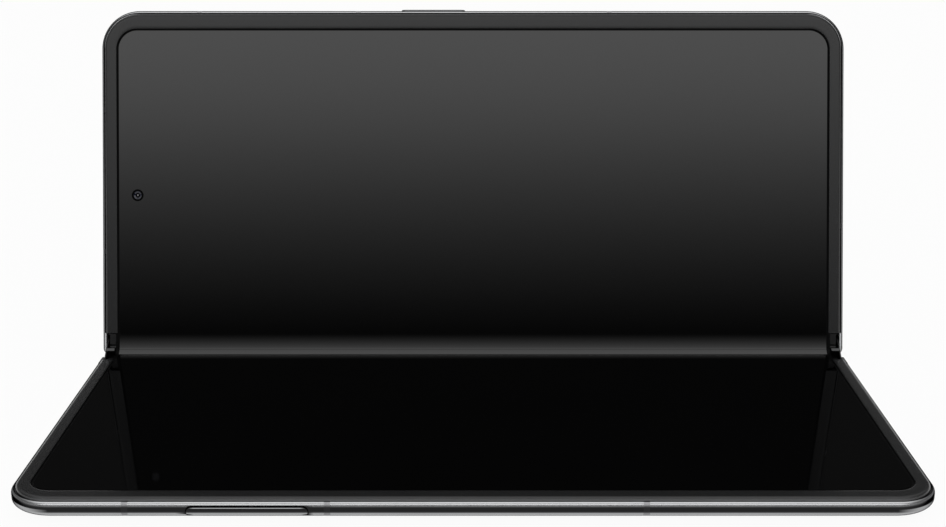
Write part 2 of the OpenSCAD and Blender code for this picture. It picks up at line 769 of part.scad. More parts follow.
module cover_glass() { color([0.02, 0.02, 0.02]) on_base() half_glass(); }
module cover_display_panel() {
    color([0.05, 0.05, 0.07]) on_base() difference() {
        translate([0, 0, cover_panel_u]) linear_extrude(cover_panel_thickness)
            half_outline(back_inset, cavity_start + inner_gap);
        translate([cover_camera_x, cover_camera_s, -half_thickness])
            cylinder(r = cover_camera_radius + inner_gap, h = 2, $fn = fine_fn);
    }
}
module cover_camera() {
    color("black") on_base() {
        translate([cover_camera_x, cover_camera_s, glass_top_u])
            cylinder(r = cover_camera_radius, h = 1.6, $fn = fine_fn);
        block([cover_camera_x - cover_camera_block, cover_camera_s - cover_camera_block, glass_top_u + 1.5],
            [cover_camera_x + cover_camera_block, cover_camera_s + cover_camera_block, -cavity_top - 0.2]);
    }
}
module base_board() {
    color("darkgreen") on_base() {
        block([base_board_x, board_start_s, board_bottom], [board_end_x, base_board_end_s, board_top]);
        board_parts([base_board_x, board_start_s], base_chips);
    }
}

// A box along the SIM tray's body, grown by a gap on its sides
module tray_box(growth, height_growth, from_s, to_s) {
    half_width = tray_length / 2 - tray_body_inset + growth;
    height = tray_body_height + 2 * height_growth;
    block([tray_x - half_width, from_s, -tray_drop - height / 2],
        [tray_x + half_width, to_s, -tray_drop + height / 2]);
}
module sim_reader() {
    color("silver") on_base() difference() {
        tray_box(reader_wall, reader_wall - 0.05, tray_start - 2, half_depth - frame_wall - 1.2);
        tray_box(tray_gap, tray_gap, tray_start - tray_gap, half_depth);
    }
}
module sim_tray() {
    color("dimgray") on_base() {
        intersection() {
            ring(skin_section(frame_wall - tray_wall), frame_start);
            translate([tray_x, 0, -tray_drop]) edge_pill(tray_length, tray_height, -over, 8);
        }
        difference() {
            tray_box(0, 0, tray_start, half_depth - frame_wall + 0.4);
            block([tray_x - card_half_length, tray_start + card_margin, -tray_drop - 0.15],
                [tray_x + card_half_length, tray_start + card_margin + card_depth, 0]);
        }
    }
}
module earpiece_speaker() {
    color("gray") on_base()
        block([-half_length + frame_wall + inner_gap, earpiece_speaker_s, side_floor],
            [-half_length + frame_wall + box_width + 2, earpiece_speaker_s + 11, -battery_top - 0.2]);
}

// ---- Spine and screen fold ----

module spine_outline(radius) {
    for (side = [-1, 1]) translate([side * axis_spread, -axis_depth]) circle(r = radius, $fn = outer_fn);
    translate([-axis_spread, -axis_depth - radius]) square([2 * axis_spread, 2 * radius]);
}

module spine_cover() {
    color([0.3, 0.3, 0.31]) on_spine() along_hinge(-spine_half_length, spine_half_length) difference() {
        spine_outline(spine_radius);
        spine_outline(spine_bore);
        translate([-10, spine_edge_u]) square([20, 10]);
    }
}

module spine_end_caps() {
    color("silver") on_spine() both_ends()
        along_hinge(spine_half_length, spine_half_length + cap_thickness) difference() {
            spine_outline(spine_radius);
            translate([-10, -cap_top]) square([20, 10]);
        }
}

module bracket_wall_section() {
    translate([-bracket_half_width, -bracket_bottom])
        square([2 * bracket_half_width, bracket_bottom - bracket_top]);
}

module spine_end_blocks() {
    color("gray") on_spine() both_ends() difference() {
        union() {
            along_hinge(end_pin_start - 0.1, fold_half_length) bracket_wall_section();
            along_hinge(fold_half_length + inner_gap, web_end) {
                translate([-web_half_width, -bracket_bottom])
                    square([2 * web_half_width, bracket_bottom - web_drop - web_half_width]);
                translate([0, -web_drop - web_half_width]) circle(r = web_half_width, $fn = fine_fn);
            }
            along_hinge(fold_half_length - over, spine_half_length)
                translate([-web_half_width, -bracket_bottom])
                    square([2 * web_half_width, bracket_bottom - bracket_top - 1]);
        }
        for (side = [-1, 1])
            rod(side * axis_spread, axis_depth, bore_radius, end_pin_start - over, fold_half_length + over);
    }
}

module hinge_brackets() {
    color("lightgray") on_spine() for (x = unit_places()) difference() {
        union() {
            for (start = [0, middle_wall_x, end_wall_x])
                along_hinge(x + start, x + start + bracket_wall) bracket_wall_section();
            along_hinge(x, x + unit_length)
                translate([-axis_spread, -bracket_bottom]) square([2 * axis_spread, bracket_floor]);
        }
        for (side = [-1, 1]) {
            rod(side * axis_spread, axis_depth, bore_radius, x - over, x + unit_length + over);
            rod(side * gear_pitch_radius, axis_depth, bore_radius, x + gear_x,
                x + middle_wall_x + bracket_wall + 0.01);
        }
    }
}

module hinge_pins() {
    color("white") on_spine() {
        for (x = unit_places()) for (side = [-1, 1]) {
            rod(side * axis_spread, axis_depth, pin_radius, x, x + unit_length);
            rod(side * gear_pitch_radius, axis_depth, pin_radius, x + gear_x, x + middle_wall_x + bracket_wall);
        }
        both_ends() for (side = [-1, 1])
            rod(side * axis_spread, axis_depth, pin_radius, end_pin_start, spine_half_length - 0.05);
    }
}

module friction_washers() {
    color("darkgray") on_spine() for (x = unit_places()) for (side = [-1, 1]) for (i = [0:washer_count - 1])
        difference() {
            start = x + washer_x + i * washer_pitch;
            rod(side * axis_spread, axis_depth, washer_radius, start, start + washer_thickness);
            rod(side * axis_spread, axis_depth, bore_radius, start - over, start + washer_thickness + over);
        }
}

module idler_gears(side) {
    half_pitch = 180 / gear_teeth;
    on_spine() for (x = unit_places()) difference() {
        translate([x + gear_x, side * gear_pitch_radius, -axis_depth]) rotate([90, 0, 90])
            linear_extrude(gear_width) gear_section(side < 0 ? half_pitch : 0);
        rod(side * gear_pitch_radius, axis_depth, bore_radius, x, x + unit_length);
    }
}
module lower_idler_gears() { color("gold") idler_gears(-1); }
module upper_idler_gears() { color("gold") idler_gears(1); }

// A strip that follows the spine in the middle and its half from fold_length outward.
// Its points turn about the half's axis, by a share of the fold that grows smoothly with s.
function fold_share(s) = let (t = min(1, max(0, s / fold_length))) t * t * (3 - 2 * t);
function fold_point(s, u) =
    [axis_spread, -axis_depth] + turned([s - axis_spread, u + axis_depth], half_fold * fold_share(s));
module fold_strip(side, top, bottom, end, from_x, to_x) {
    steps = 12;
    line = [for (i = [0:steps]) end * i / steps];
    points = concat([for (s = line) fold_point(s, -top)], backward([for (s = line) fold_point(s, -bottom)]));
    on_spine() along_hinge(from_x, to_x) polygon([for (q = points) [side * q[0], q[1]]]);
}
module display_fold_lower() {
    color("black") fold_strip(-1, 0, screen_thickness, fold_length, -fold_half_length, fold_half_length);
}
module display_fold_upper() {
    color("black") fold_strip(1, 0, screen_thickness, fold_length, -fold_half_length, fold_half_length);
}
module hinge_flex_lower() {
    color("orange") for (x = flex_places)
        fold_strip(-1, flex_drop, flex_drop + flex_thickness, flex_end, x - flex_width / 2, x + flex_width / 2);
}
module hinge_flex_upper() {
    color("orange") for (x = flex_places)
        fold_strip(1, flex_drop, flex_drop + flex_thickness, flex_end, x - flex_width / 2, x + flex_width / 2);
}

// ---- Upper half ----

module usb_pill(growth, from_inset, to_inset) {
    height = usb_height + growth;
    translate([half_length - to_inset, usb_s, -usb_drop]) rotate([90, 0, 90])
        linear_extrude(to_inset - from_inset) {
            span = usb_width - usb_height;
            translate([-span / 2, -height / 2]) square([span, height]);
            for (side = [-1, 1]) translate([side * span / 2, 0]) circle(d = height, $fn = fine_fn);
        }
}

module lid_frame() {
    color("dimgray") on_lid() difference() {
        half_frame();
        translate([power_key_x, 0, -key_drop])
            edge_pill(power_key_length + 2 * key_gap, key_height + 2 * key_gap,
                -over, key_core_end + power_key_travel + key_gap);
        translate([rocker_x, 0, -key_drop])
            edge_pill(rocker_length + 2 * rocker_gap, key_height + 2 * rocker_gap,
                -over, frame_wall + 0.04);
        usb_pill(-2 * usb_shell, -over, usb_start + over);
        usb_pill(2 * inner_gap, usb_start - inner_gap, usb_depth + over);
        side_holes(1, speaker_hole_s, speaker_holes);
        side_holes(1, microphone_s, 1);
    }
}
module lid_bezel() { color([0.13, 0.13, 0.14]) on_lid() half_bezel(); }
module lid_antenna_breaks() { color([0.2, 0.2, 0.2]) on_lid() antenna_breaks(); }
module lid_wing_plate() { color("gray") on_lid() half_wing_plate(); }
module lid_hinge_arms() { color("lightgray") on_lid() half_hinge_arms(false); }
module lid_end_guards() { color([0.25, 0.25, 0.26]) on_lid() half_end_guards(); }
module lid_screws() { color("darkgray") on_lid() half_screws(); }
module lid_battery() { color([0.1, 0.1, 0.1]) on_lid() battery(); }

module inner_camera_bore() {
    translate([inner_camera_x, inner_camera_s, -2])
        cylinder(r = inner_hole_radius, h = 2 + over, $fn = outer_fn);
}
module lid_chassis_plate() {
    color("silver") on_lid() difference() {
        half_chassis_plate();
        inner_camera_bore();
    }
}
module display_upper() {
    color([0.03, 0.03, 0.03]) on_lid() difference() {
        half_screen();
        inner_camera_bore();
    }
}
module inner_camera() {
    color("black") on_lid() {
        translate([inner_camera_x, inner_camera_s, -screen_thickness - inner_barrel])
            cylinder(r = inner_hole_radius - inner_gap, h = inner_barrel, $fn = outer_fn);
        block_top = 0.2 - screen_thickness - inner_barrel;
        block([inner_camera_x - inner_block, inner_camera_s - inner_block, -battery_bottom],
            [inner_camera_x + inner_block, inner_camera_s + inner_block, block_top]);
    }
}
module inner_camera_lens() {
    color("midnightblue") on_lid() translate([inner_camera_x, inner_camera_s, -screen_thickness])
        cylinder(r = inner_hole_radius - inner_gap, h = inner_lens_thickness, $fn = outer_fn);
}

module at_lens(place) {
    translate([island_x + place[0] * lens_offset, island_s + place[1] * lens_offset, 0]) children();
}
module back_glass() {
    color([0.12, 0.12, 0.13]) on_lid() difference() {
        half_glass();
        for (place = lens_places)
            at_lens(place) translate([0, 0, -half_thickness - over])
                cylinder(r = barrel_radius + barrel_gap, h = 3, $fn = outer_fn);
        at_lens(flash_place) translate([0, 0, -half_thickness - over])
            cylinder(r = flash_radius, h = 3, $fn = fine_fn);
        usb_pill(2 * inner_gap, usb_start - inner_gap, usb_depth + over);
    }
}
module camera_island() {
    color([0.2, 0.2, 0.21]) on_lid() difference() {
        translate([island_x, island_s, island_face]) linear_extrude(island_height) {
            square([island_length, island_depth - 2 * island_radius], center = true);
            square([island_length - 2 * island_radius, island_depth], center = true);
            for (i = [-1, 1]) for (j = [-1, 1])
                translate([i * (island_length / 2 - island_radius), j * (island_depth / 2 - island_radius)])
                    circle(r = island_radius, $fn = outer_fn);
        }
        for (place = lens_places)
            at_lens(place) translate([0, 0, island_face - over])
                cylinder(r = lens_bore_radius, h = 5, $fn = outer_fn);
        at_lens(flash_place) translate([0, 0, island_face - over])
            cylinder(r = flash_radius, h = 5, $fn = fine_fn);
    }
}
module camera_lens_rings() {
    color("gray") on_lid() for (place = lens_places)
        at_lens(place) difference() {
            translate([0, 0, island_face - lens_ring_height])
                cylinder(r = lens_ring_radius, h = lens_ring_height, $fn = outer_fn);
            translate([0, 0, island_face - over]) cylinder(r = lens_bore_radius, h = 2 * over, $fn = outer_fn);
        }
}
module camera_glasses() {
    color([0.05, 0.05, 0.08]) on_lid() for (place = lens_places)
        at_lens(place) translate([0, 0, island_face - lens_ring_height + 0.1])
            cylinder(r = lens_bore_radius - flash_gap, h = lens_glass_thickness - 0.1, $fn = outer_fn);
}
module camera_modules() {
    color([0.15, 0.15, 0.15]) on_lid() for (place = lens_places)
        at_lens(place) {
            translate([0, 0, island_face - lens_ring_height + 0.2 + lens_glass_thickness])
                cylinder(r = barrel_radius, h = barrel_height, $fn = outer_fn);
            block([-camera_block, -camera_block, -battery_bottom],
                [camera_block, camera_block, -cavity_top - 0.1]);
        }
}
module flash_lens() {
    color("lightyellow") on_lid() at_lens(flash_place) translate([0, 0, island_face])
        cylinder(r = flash_radius - flash_gap, h = island_height + 1.3, $fn = fine_fn);
}

module main_board() {
    color("darkgreen") on_lid() {
        block([main_board_x, board_start_s, board_bottom], [board_end_x, main_board_end_s, board_top]);
        block([side_board_x, board_start_s, board_bottom], [main_board_x + over, side_board_end_s, board_top]);
        board_parts([side_board_x, board_start_s], side_chips);
    }
}
module board_shields() {
    color("silver") on_lid() board_parts([main_board_x, board_start_s], shield_boxes);
}

module usb_port() {
    color("lightgray") on_lid() difference() {
        usb_pill(0, usb_start, usb_depth);
        difference() {
            usb_pill(-2 * usb_shell, usb_start - 0.1, usb_depth - usb_back);
            translate([half_length - usb_depth, usb_s, -usb_drop])
                translate([0, -usb_tongue_width / 2, -usb_tongue_thickness / 2])
                    cube([usb_depth - usb_start - 0.3, usb_tongue_width, usb_tongue_thickness]);
        }
    }
}
module bottom_speaker() {
    color("gray") on_lid()
        block([half_length - frame_wall - box_width, speaker_hole_s - speaker_margin, side_floor],
            [half_length - frame_wall - inner_gap, speaker_hole_s + hole_pitch * speaker_holes,
                -battery_top - 0.3]);
}
module vibration_motor() {
    color("silver") on_lid()
        block([half_length - frame_wall - box_width, motor_s, side_floor],
            [half_length - frame_wall - inner_gap, motor_s + motor_length, -battery_top - 0.2]);
}
module charging_coil() {
    color("chocolate") on_lid() translate([coil_x, coil_s, cover_panel_u]) difference() {
        cylinder(r = coil_radius, h = coil_thickness, $fn = outer_fn);
        translate([0, 0, -over]) cylinder(r = coil_bore_radius, h = 2 * over, $fn = outer_fn);
    }
}

module power_key() {
    color("dimgray") on_lid() {
        translate([power_key_x, 0, -key_drop])
            edge_pill(power_key_length, key_height, -power_key_rise, key_core_end);
        flange_half_length = power_key_length / 2 + key_flange_reach;
        block([power_key_x - flange_half_length, half_depth - key_flange_inset - key_flange_thickness,
                -key_drop - key_height / 2 + 0.1],
            [power_key_x + flange_half_length, half_depth - key_flange_inset, -shelf_bottom - 0.1]);
    }
}
// The rocker tilts on the round nub behind its middle
module volume_rocker() {
    color("dimgray") on_lid() {
        translate([rocker_x, 0, -key_drop])
            edge_pill(rocker_length, key_height, rocker_face, frame_wall - 0.15);
        translate([rocker_x, half_depth - rocker_axis_inset, -key_drop - rocker_nub_height / 2])
            cylinder(r = rocker_pivot_radius, h = rocker_nub_height, $fn = fine_fn);
        translate([rocker_x, half_depth - rocker_axis_inset, -key_drop - rocker_nub_height / 2])
            translate([-rocker_pivot_radius, 0, 0])
                cube([2 * rocker_pivot_radius, rocker_axis_inset - frame_wall + 0.5, rocker_nub_height]);
    }
}
module key_switches() {
    color("gray") on_lid() for (x = [power_key_x, rocker_x])
        block([x - switch_half_length, half_depth - switch_inset - switch_depth, -key_drop - 1.1],
            [x + switch_half_length, half_depth - switch_inset, -shelf_bottom - 0.05]);
}

base_frame();
base_bezel();
base_antenna_breaks();
base_chassis_plate();
cover_glass();
cover_display_panel();
cover_camera();
base_battery();
base_board();
sim_reader();
earpiece_speaker();
base_hinge_arms();
base_end_guards();
base_screws();
display_lower();
sim_tray();
spine_cover();
spine_end_caps();
spine_end_blocks();
hinge_brackets();
hinge_pins();
friction_washers();
lower_idler_gears();
upper_idler_gears();
display_fold_lower();
display_fold_upper();
hinge_flex_lower();
hinge_flex_upper();
base_wing_plate();
lid_wing_plate();
lid_frame();
lid_bezel();
lid_antenna_breaks();
lid_chassis_plate();
back_glass();
lid_battery();
main_board();
board_shields();
camera_island();
camera_lens_rings();
camera_glasses();
camera_modules();
flash_lens();
inner_camera();
inner_camera_lens();
usb_port();
bottom_speaker();
vibration_motor();
charging_coil();
key_switches();
lid_hinge_arms();
lid_end_guards();
lid_screws();
display_upper();
power_key();
volume_rocker();
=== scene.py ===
"""Foldable smartphone, standing half open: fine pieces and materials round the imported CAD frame.

All sizes are in millimetres until a mesh is made. Each half is built in its own frame: x along the
hinge, s outward from the hinge's middle and u out of the screen, with the screen at 0. The spine is
built in x, y and z, with the halves' axes at y = -AXIS_S and y = AXIS_S."""
import json
import math

import bmesh
import bpy
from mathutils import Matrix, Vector


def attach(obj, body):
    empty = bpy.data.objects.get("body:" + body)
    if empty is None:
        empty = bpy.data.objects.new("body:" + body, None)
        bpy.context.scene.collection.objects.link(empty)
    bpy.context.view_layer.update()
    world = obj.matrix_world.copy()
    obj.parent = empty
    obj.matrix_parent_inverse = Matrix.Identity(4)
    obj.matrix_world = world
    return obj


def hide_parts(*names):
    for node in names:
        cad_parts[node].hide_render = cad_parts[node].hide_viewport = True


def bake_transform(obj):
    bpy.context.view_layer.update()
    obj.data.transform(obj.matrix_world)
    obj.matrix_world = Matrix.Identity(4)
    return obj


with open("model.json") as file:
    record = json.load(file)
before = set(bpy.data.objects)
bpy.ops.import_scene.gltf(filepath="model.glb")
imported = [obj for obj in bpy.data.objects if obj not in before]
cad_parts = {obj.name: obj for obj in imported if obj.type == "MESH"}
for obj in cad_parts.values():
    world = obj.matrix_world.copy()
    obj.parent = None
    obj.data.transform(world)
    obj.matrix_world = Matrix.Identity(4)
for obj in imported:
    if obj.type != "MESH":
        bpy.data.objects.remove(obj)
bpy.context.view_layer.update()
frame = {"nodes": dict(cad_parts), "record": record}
NODES = frame["nodes"]
MM = 0.001

# ---- Sizes of the whole, as in the CAD ----
HALF_LENGTH = 78.5
HALF_DEPTH = 73.25
THICKNESS = 4.8
CORNER = 8.0
AXIS_S, AXIS_DROP = 1.95, 1.65
HALF_FOLD = math.radians(37.4)
HINGE_Y = HALF_DEPTH / 2
LOWER_AXIS = (HINGE_Y - AXIS_S, THICKNESS - AXIS_DROP)
UPPER_AXIS = (LOWER_AXIS[0] + 2 * AXIS_S * math.cos(HALF_FOLD),
              LOWER_AXIS[1] + 2 * AXIS_S * math.sin(HALF_FOLD))
FOLD_LENGTH = 6.0
FOLD_X = 75.6
FILM = 0.3


# ---- Places ----
def turned(p, angle):
    c, s = math.cos(angle), math.sin(angle)
    return (p[0] * c - p[1] * s, p[0] * s + p[1] * c)


def on_base(x, s, u):
    return (x, HINGE_Y - s, THICKNESS + u)


def on_lid(x, s, u):
    q = turned((s - AXIS_S, u + AXIS_DROP), 2 * HALF_FOLD)
    return (x, UPPER_AXIS[0] + q[0], UPPER_AXIS[1] + q[1])


def on_spine(x, y, z):
    q = turned((y + AXIS_S, z + AXIS_DROP), HALF_FOLD)
    return (x, LOWER_AXIS[0] + q[0], LOWER_AXIS[1] + q[1])


PLACES = {"base": on_base, "sim_tray": on_base, "spine": on_spine,
          "lid": on_lid, "power_key": on_lid, "volume_rocker": on_lid}


# ---- Meshes ----
class Build:
    """Vertices and faces collected in one body's frame, in millimetres, with a painted light value for each
    vertex, the mask of painted highlights and painted shade.
    """

    def __init__(self):
        self.points = []
        self.faces = []
        self.painted_lights = []

    def grid(self, rows, closed_rows=False, closed_columns=False, painted_lights=None):
        """Faces between neighbouring rows of points, all of one length."""
        width = len(rows[0])
        first = len(self.points)
        for k, row in enumerate(rows):
            self.points += row
            self.painted_lights += painted_lights[k] if painted_lights else [0.0] * width
        for i in range(len(rows) if closed_rows else len(rows) - 1):
            a, b = first + i * width, first + (i + 1) % len(rows) * width
            for j in range(width if closed_columns else width - 1):
                k = (j + 1) % width
                self.faces.append((a + j, a + k, b + k, b + j))
        return first

    def cap(self, indices):
        self.faces.append(tuple(indices))


def stack(build, loops, painted_lights=None):
    """Closed loops of points joined in order, with the first and the last filled in."""
    first = build.grid(loops, closed_columns=True, painted_lights=painted_lights)
    width = len(loops[0])
    last = first + (len(loops) - 1) * width
    build.cap(range(first, first + width))
    build.cap(range(last + width - 1, last - 1, -1))
    return build


def extruded(build, section, from_x, to_x, steps=1):
    """A closed section of (s, u) points extruded along x."""
    return stack(build, [[(from_x + (to_x - from_x) * i / steps, s, u) for s, u in section]
                         for i in range(steps + 1)])


def linked_object(name, build, put):
    """The collected faces as an object in the row frame."""
    data = bpy.data.meshes.new(name)
    data.from_pydata([[c * MM for c in put(*p)] for p in build.points], [], build.faces)
    made = bpy.data.objects.new(name, data)
    bpy.context.scene.collection.objects.link(made)
    return made


def finish_mesh(piece, sharp=32):
    """Welds the mesh, turns its faces outward and shades it smooth but for edges over the sharp angle."""
    mesh = bmesh.new()
    mesh.from_mesh(piece.data)
    bmesh.ops.remove_doubles(mesh, verts=mesh.verts, dist=2e-7)
    bmesh.ops.recalc_face_normals(mesh, faces=mesh.faces)
    limit = math.radians(sharp)
    for face in mesh.faces:
        face.smooth = True
    for edge in mesh.edges:
        edge.smooth = len(edge.link_faces) == 2 and edge.calc_face_angle(0) < limit
    mesh.to_mesh(piece.data)
    mesh.free()


def mesh_piece(name, build, body, slot, nodes=(), material=None, sharp=32):
    """Makes the collected faces one object, riding on its body. The slot's own material is the default."""
    piece = linked_object(name, build, PLACES[body])
    # The painted light mask: painted highlights and painted shade for the edge and bezel materials
    painted_light = piece.data.attributes.new("painted_light", "FLOAT", "POINT")
    painted_light.data.foreach_set("value", build.painted_lights)
    finish_mesh(piece, sharp)
    piece.data.materials.append(MATERIALS[material or slot])
    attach(piece, body)
    if nodes:
        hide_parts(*nodes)
    return piece


def cut(piece, body, cutters, operation="DIFFERENCE"):
    """Takes closed shapes out of the piece, or keeps what it shares with them."""
    for build in cutters:
        tool = linked_object("cutter", build, PLACES[body])
        finish_mesh(tool)
        change = piece.modifiers.new("cut", "BOOLEAN")
        change.object = tool
        change.operation = operation
        change.solver = "EXACT"
        apply_modifiers(piece)
        bpy.data.objects.remove(tool)
    finish_mesh(piece)


def apply_modifiers(piece):
    graph = bpy.context.evaluated_depsgraph_get()
    graph.update()
    old = piece.data
    piece.data = bpy.data.meshes.new_from_object(piece.evaluated_get(graph))
    piece.modifiers.clear()
    bpy.data.meshes.remove(old)


# ---- Curves ----
def quarter(steps):
    """Angles of a quarter turn, in equal steps."""
    return [math.pi / 2 * i / steps for i in range(steps + 1)]


def bezier(a, b, c, steps, start=0.0, end=1.0):
    out = []
    for i in range(steps + 1):
        t = start + (end - start) * i / steps
        out.append(tuple((1 - t) ** 2 * p + 2 * t * (1 - t) * q + t * t * r for p, q, r in zip(a, b, c)))
    return out


def circle(a, b, radius, steps):
    """Points of a circle about (a, b)."""
    turns = [2 * math.pi * i / steps for i in range(steps)]
    return [(a + radius * math.cos(t), b + radius * math.sin(t)) for t in turns]


def pill_outline(length, height, steps=16):
    """Points of a pill lying along the first coordinate, centred on 0."""
    radius = height / 2
    out = []
    for side in (1, -1):
        for i in range(steps + 1):
            a = side * math.pi / 2 - math.pi * i / steps
            out.append((side * (length / 2 - radius) + radius * math.cos(a), radius * math.sin(a)))
    return out


def rounded_square(half, radius, steps=12):
    out = []
    for k, (sx, sy) in enumerate(((1, 1), (-1, 1), (-1, -1), (1, -1))):
        for i in range(steps + 1):
            a = math.pi / 2 * (k + i / steps)
            out.append((sx * (half - radius) + radius * math.cos(a),
                        sy * (half - radius) + radius * math.sin(a)))
    return out


def turned_loops(x, s, profile, steps=64):
    """Loops of a body of revolution about an axis out of the screen, for a profile of (radius, u)."""
    return [[(a, b, u) for a, b in circle(x, s, r, steps)] for r, u in profile]


def turned_piece(x, s, profile):
    return stack(Build(), turned_loops(x, s, profile))


def tube(from_x, to_x, s, u, radius):
    return extruded(Build(), circle(s, u, radius, 32), from_x, to_x)


# ---- The edge of a half: its section, as (inset, u) points, and its outermost line ----
SEAM, BELLY, BACK = (0.5, -0.41), (1.05, -3.2), (6.5, -THICKNESS)
SEAM_PULL, BELLY_PULL, BACK_PULL = (0.0, -0.6), (0.0, -2.692), (4.356, -THICKNESS)
SIDE_TOP, SIDE_BOTTOM = (0.0, -1.25), (0.0, -1.95)
RIM_SHARE = 0.2
SHOULDER = bezier(SEAM, SEAM_PULL, SIDE_TOP, 14)
BAND = [(0.0, SIDE_TOP[1] + (SIDE_BOTTOM[1] - SIDE_TOP[1]) * i / 6) for i in range(1, 6)]
UNDER = bezier(SIDE_BOTTOM, BELLY_PULL, BELLY, 12)
RIM = bezier(BELLY, BACK_PULL, BACK, 5, 0, RIM_SHARE)[1:]
METAL = SHOULDER + BAND + UNDER + RIM
GLASS = bezier(BELLY, BACK_PULL, BACK, 16, RIM_SHARE, 1)

# Painted light of the metal's points: painted highlights on the shoulder and the belly, painted shade on the
# band between
SHOULDER_HIGHLIGHT = [0.0, 0.5, 1.0, 1.0, 1.0, 1.0, 0.97, 0.92, 0.84, 0.7, 0.54, 0.36, 0.18, 0.07, 0.0]
BELLY_HIGHLIGHT = [0.0, 0.05, 0.25, 0.55, 0.8, 0.95] + [1.0] * (len(UNDER + RIM) - 6)
METAL_PAINTED_LIGHT = SHOULDER_HIGHLIGHT + [0.0] * len(BAND) + BELLY_HIGHLIGHT
INSIDE_TONE = 0.3

# The metal's inner side, from behind the belly round the bezel's seat to the seam
INNER = [(2.33, -3.046), (1.5, -3.046), (1.5, -0.95), (2.2, -0.95), (2.2, -0.65), (0.58, -0.65),
         (0.56, -0.46)]
SIDE_STEPS, CORNER_STEPS, LONG_STEPS = 24, 28, 80
# Painted highlights: a thin line on the short sides' shoulder, and the belly lighter in the corners
SIDE_LINE_HIGHLIGHT = 0.55
CORNER_HIGHLIGHT = 0.8


def ring_path(start_s):
    """Outermost line of a half, as (x, s, inward x, inward s), from the top end round to the bottom end."""
    corner_x, corner_s = HALF_LENGTH - CORNER, HALF_DEPTH - CORNER
    side_s = [start_s + (corner_s - start_s) * i / SIDE_STEPS for i in range(SIDE_STEPS)]
    corner = [(math.cos(a), math.sin(a)) for a in quarter(CORNER_STEPS)]
    path = [(-HALF_LENGTH, s, 1.0, 0.0) for s in side_s]
    path += [(-corner_x - CORNER * c, corner_s + CORNER * d, c, -d) for c, d in corner]
    path += [(corner_x * (2 * i / LONG_STEPS - 1), HALF_DEPTH, 0.0, -1.0) for i in range(1, LONG_STEPS)]
    path += [(corner_x + CORNER * c, corner_s + CORNER * d, -c, -d) for c, d in corner[::-1]]
    return path + [(HALF_LENGTH, s, -1.0, 0.0) for s in side_s[::-1]]


def inset_at(u):
    """How far in the metal's outer surface lies at a height."""
    a, b = next((a, b) for a, b in zip(METAL, METAL[1:]) if a[1] >= u > b[1])
    return a[0] + (b[0] - a[0]) * (a[1] - u) / (a[1] - b[1])


def set_in(q, inset, u):
    """The point at an inset from a point of the outermost line."""
    return (q[0] + inset * q[2], q[1] + inset * q[3], u)


def along_path(path, distance):
    for a, b in zip(path, path[1:]):
        step = math.hypot(b[0] - a[0], b[1] - a[1])
        if distance <= step or b is path[-1]:
            t = distance / step if step else 0.0
            return tuple(p + (q - p) * t for p, q in zip(a, b))
        distance -= step


def path_marks(path):
    """Distances of the path's points along it."""
    marks = [0.0]
    for a, b in zip(path, path[1:]):
        marks.append(marks[-1] + math.hypot(b[0] - a[0], b[1] - a[1]))
    return marks


def stretch(path, start, end):
    """The part of the path between two distances along it."""
    inner = [q for q, m in zip(path, path_marks(path)) if start + 1e-6 < m < end - 1e-6]
    return [along_path(path, start)] + inner + [along_path(path, end)]


def side_painted_light(place, painted_light, across, along):
    """A section point's painted light by where the path runs: across is 1 on the short sides, along on the
    long one.

    On the short sides the shoulder keeps only a thin painted highlight line. In the corners the belly gets a
    painted highlight, and the band with it but for its first three points."""
    if place < len(SHOULDER):
        side = min(1.0, 1.5 * across)
        return painted_light * (1 - side) + SIDE_LINE_HIGHLIGHT * painted_light ** 6 * side
    if place < len(SHOULDER) + 3:
        return painted_light
    return painted_light + (1 - painted_light) * min(1.0, 2 * across * along) * CORNER_HIGHLIGHT


def swept(build, section, path, painted_lights):
    """A closed section of (inset, u) swept along part of the outermost line, with both ends filled in."""
    rows = [[set_in(q, inset, u) for inset, u in section] for q in path]
    stack(build, rows, [[side_painted_light(i, t, abs(q[2]), abs(q[3])) for i, t in enumerate(painted_lights)] for q in path])


def edge_plug(length, height, x, u, from_inset, to_inset, rounding=0.0):
    """A pill set in the outer long edge, between two insets; its outer end can be rounded."""
    levels = [(from_inset, 0.0)]
    if rounding:
        levels = [(from_inset + rounding * (1 - math.cos(a)), rounding * (math.sin(a) - 1))
                  for a in quarter(5)]
    return stack(Build(), [[(x + p, HALF_DEPTH - inset, u + q)
                            for p, q in pill_outline(length + 2 * growth, height + 2 * growth)]
                           for inset, growth in levels + [(to_inset, 0.0)]])


# ---- Materials ----
MATERIALS = {}


def feed(tree, socket, value):
    """Gives a socket another node's output or a value of its own."""
    if isinstance(value, bpy.types.NodeSocket):
        tree.links.new(value, socket)
    else:
        socket.default_value = value


def principled(name, colour, metallic, roughness, ior=1.5):
    MATERIALS[name] = bpy.data.materials.new(name)
    MATERIALS[name].use_nodes = True
    tree = MATERIALS[name].node_tree
    shader = tree.nodes["Principled BSDF"]
    shader.inputs["Base Color"].default_value = (*colour, 1)
    shader.inputs["Metallic"].default_value = metallic
    shader.inputs["Roughness"].default_value = roughness
    shader.inputs["IOR"].default_value = ior
    return tree, shader


def noise_of(tree, scale, detail, stretch_by=(1, 1, 1)):
    place = tree.nodes.new("ShaderNodeTexCoord")
    spread = tree.nodes.new("ShaderNodeMapping")
    spread.inputs["Scale"].default_value = stretch_by
    tree.links.new(place.outputs["Object"], spread.inputs["Vector"])
    noise = tree.nodes.new("ShaderNodeTexNoise")
    noise.inputs["Scale"].default_value = scale
    noise.inputs["Detail"].default_value = detail
    tree.links.new(spread.outputs["Vector"], noise.inputs["Vector"])
    return noise.outputs["Fac"]


# The painted light mask of the vertices, which the materials use for painted highlights and painted shade
def painted_light_of(tree):
    painted_light = tree.nodes.new("ShaderNodeAttribute")
    painted_light.attribute_name = "painted_light"
    return painted_light.outputs["Fac"]


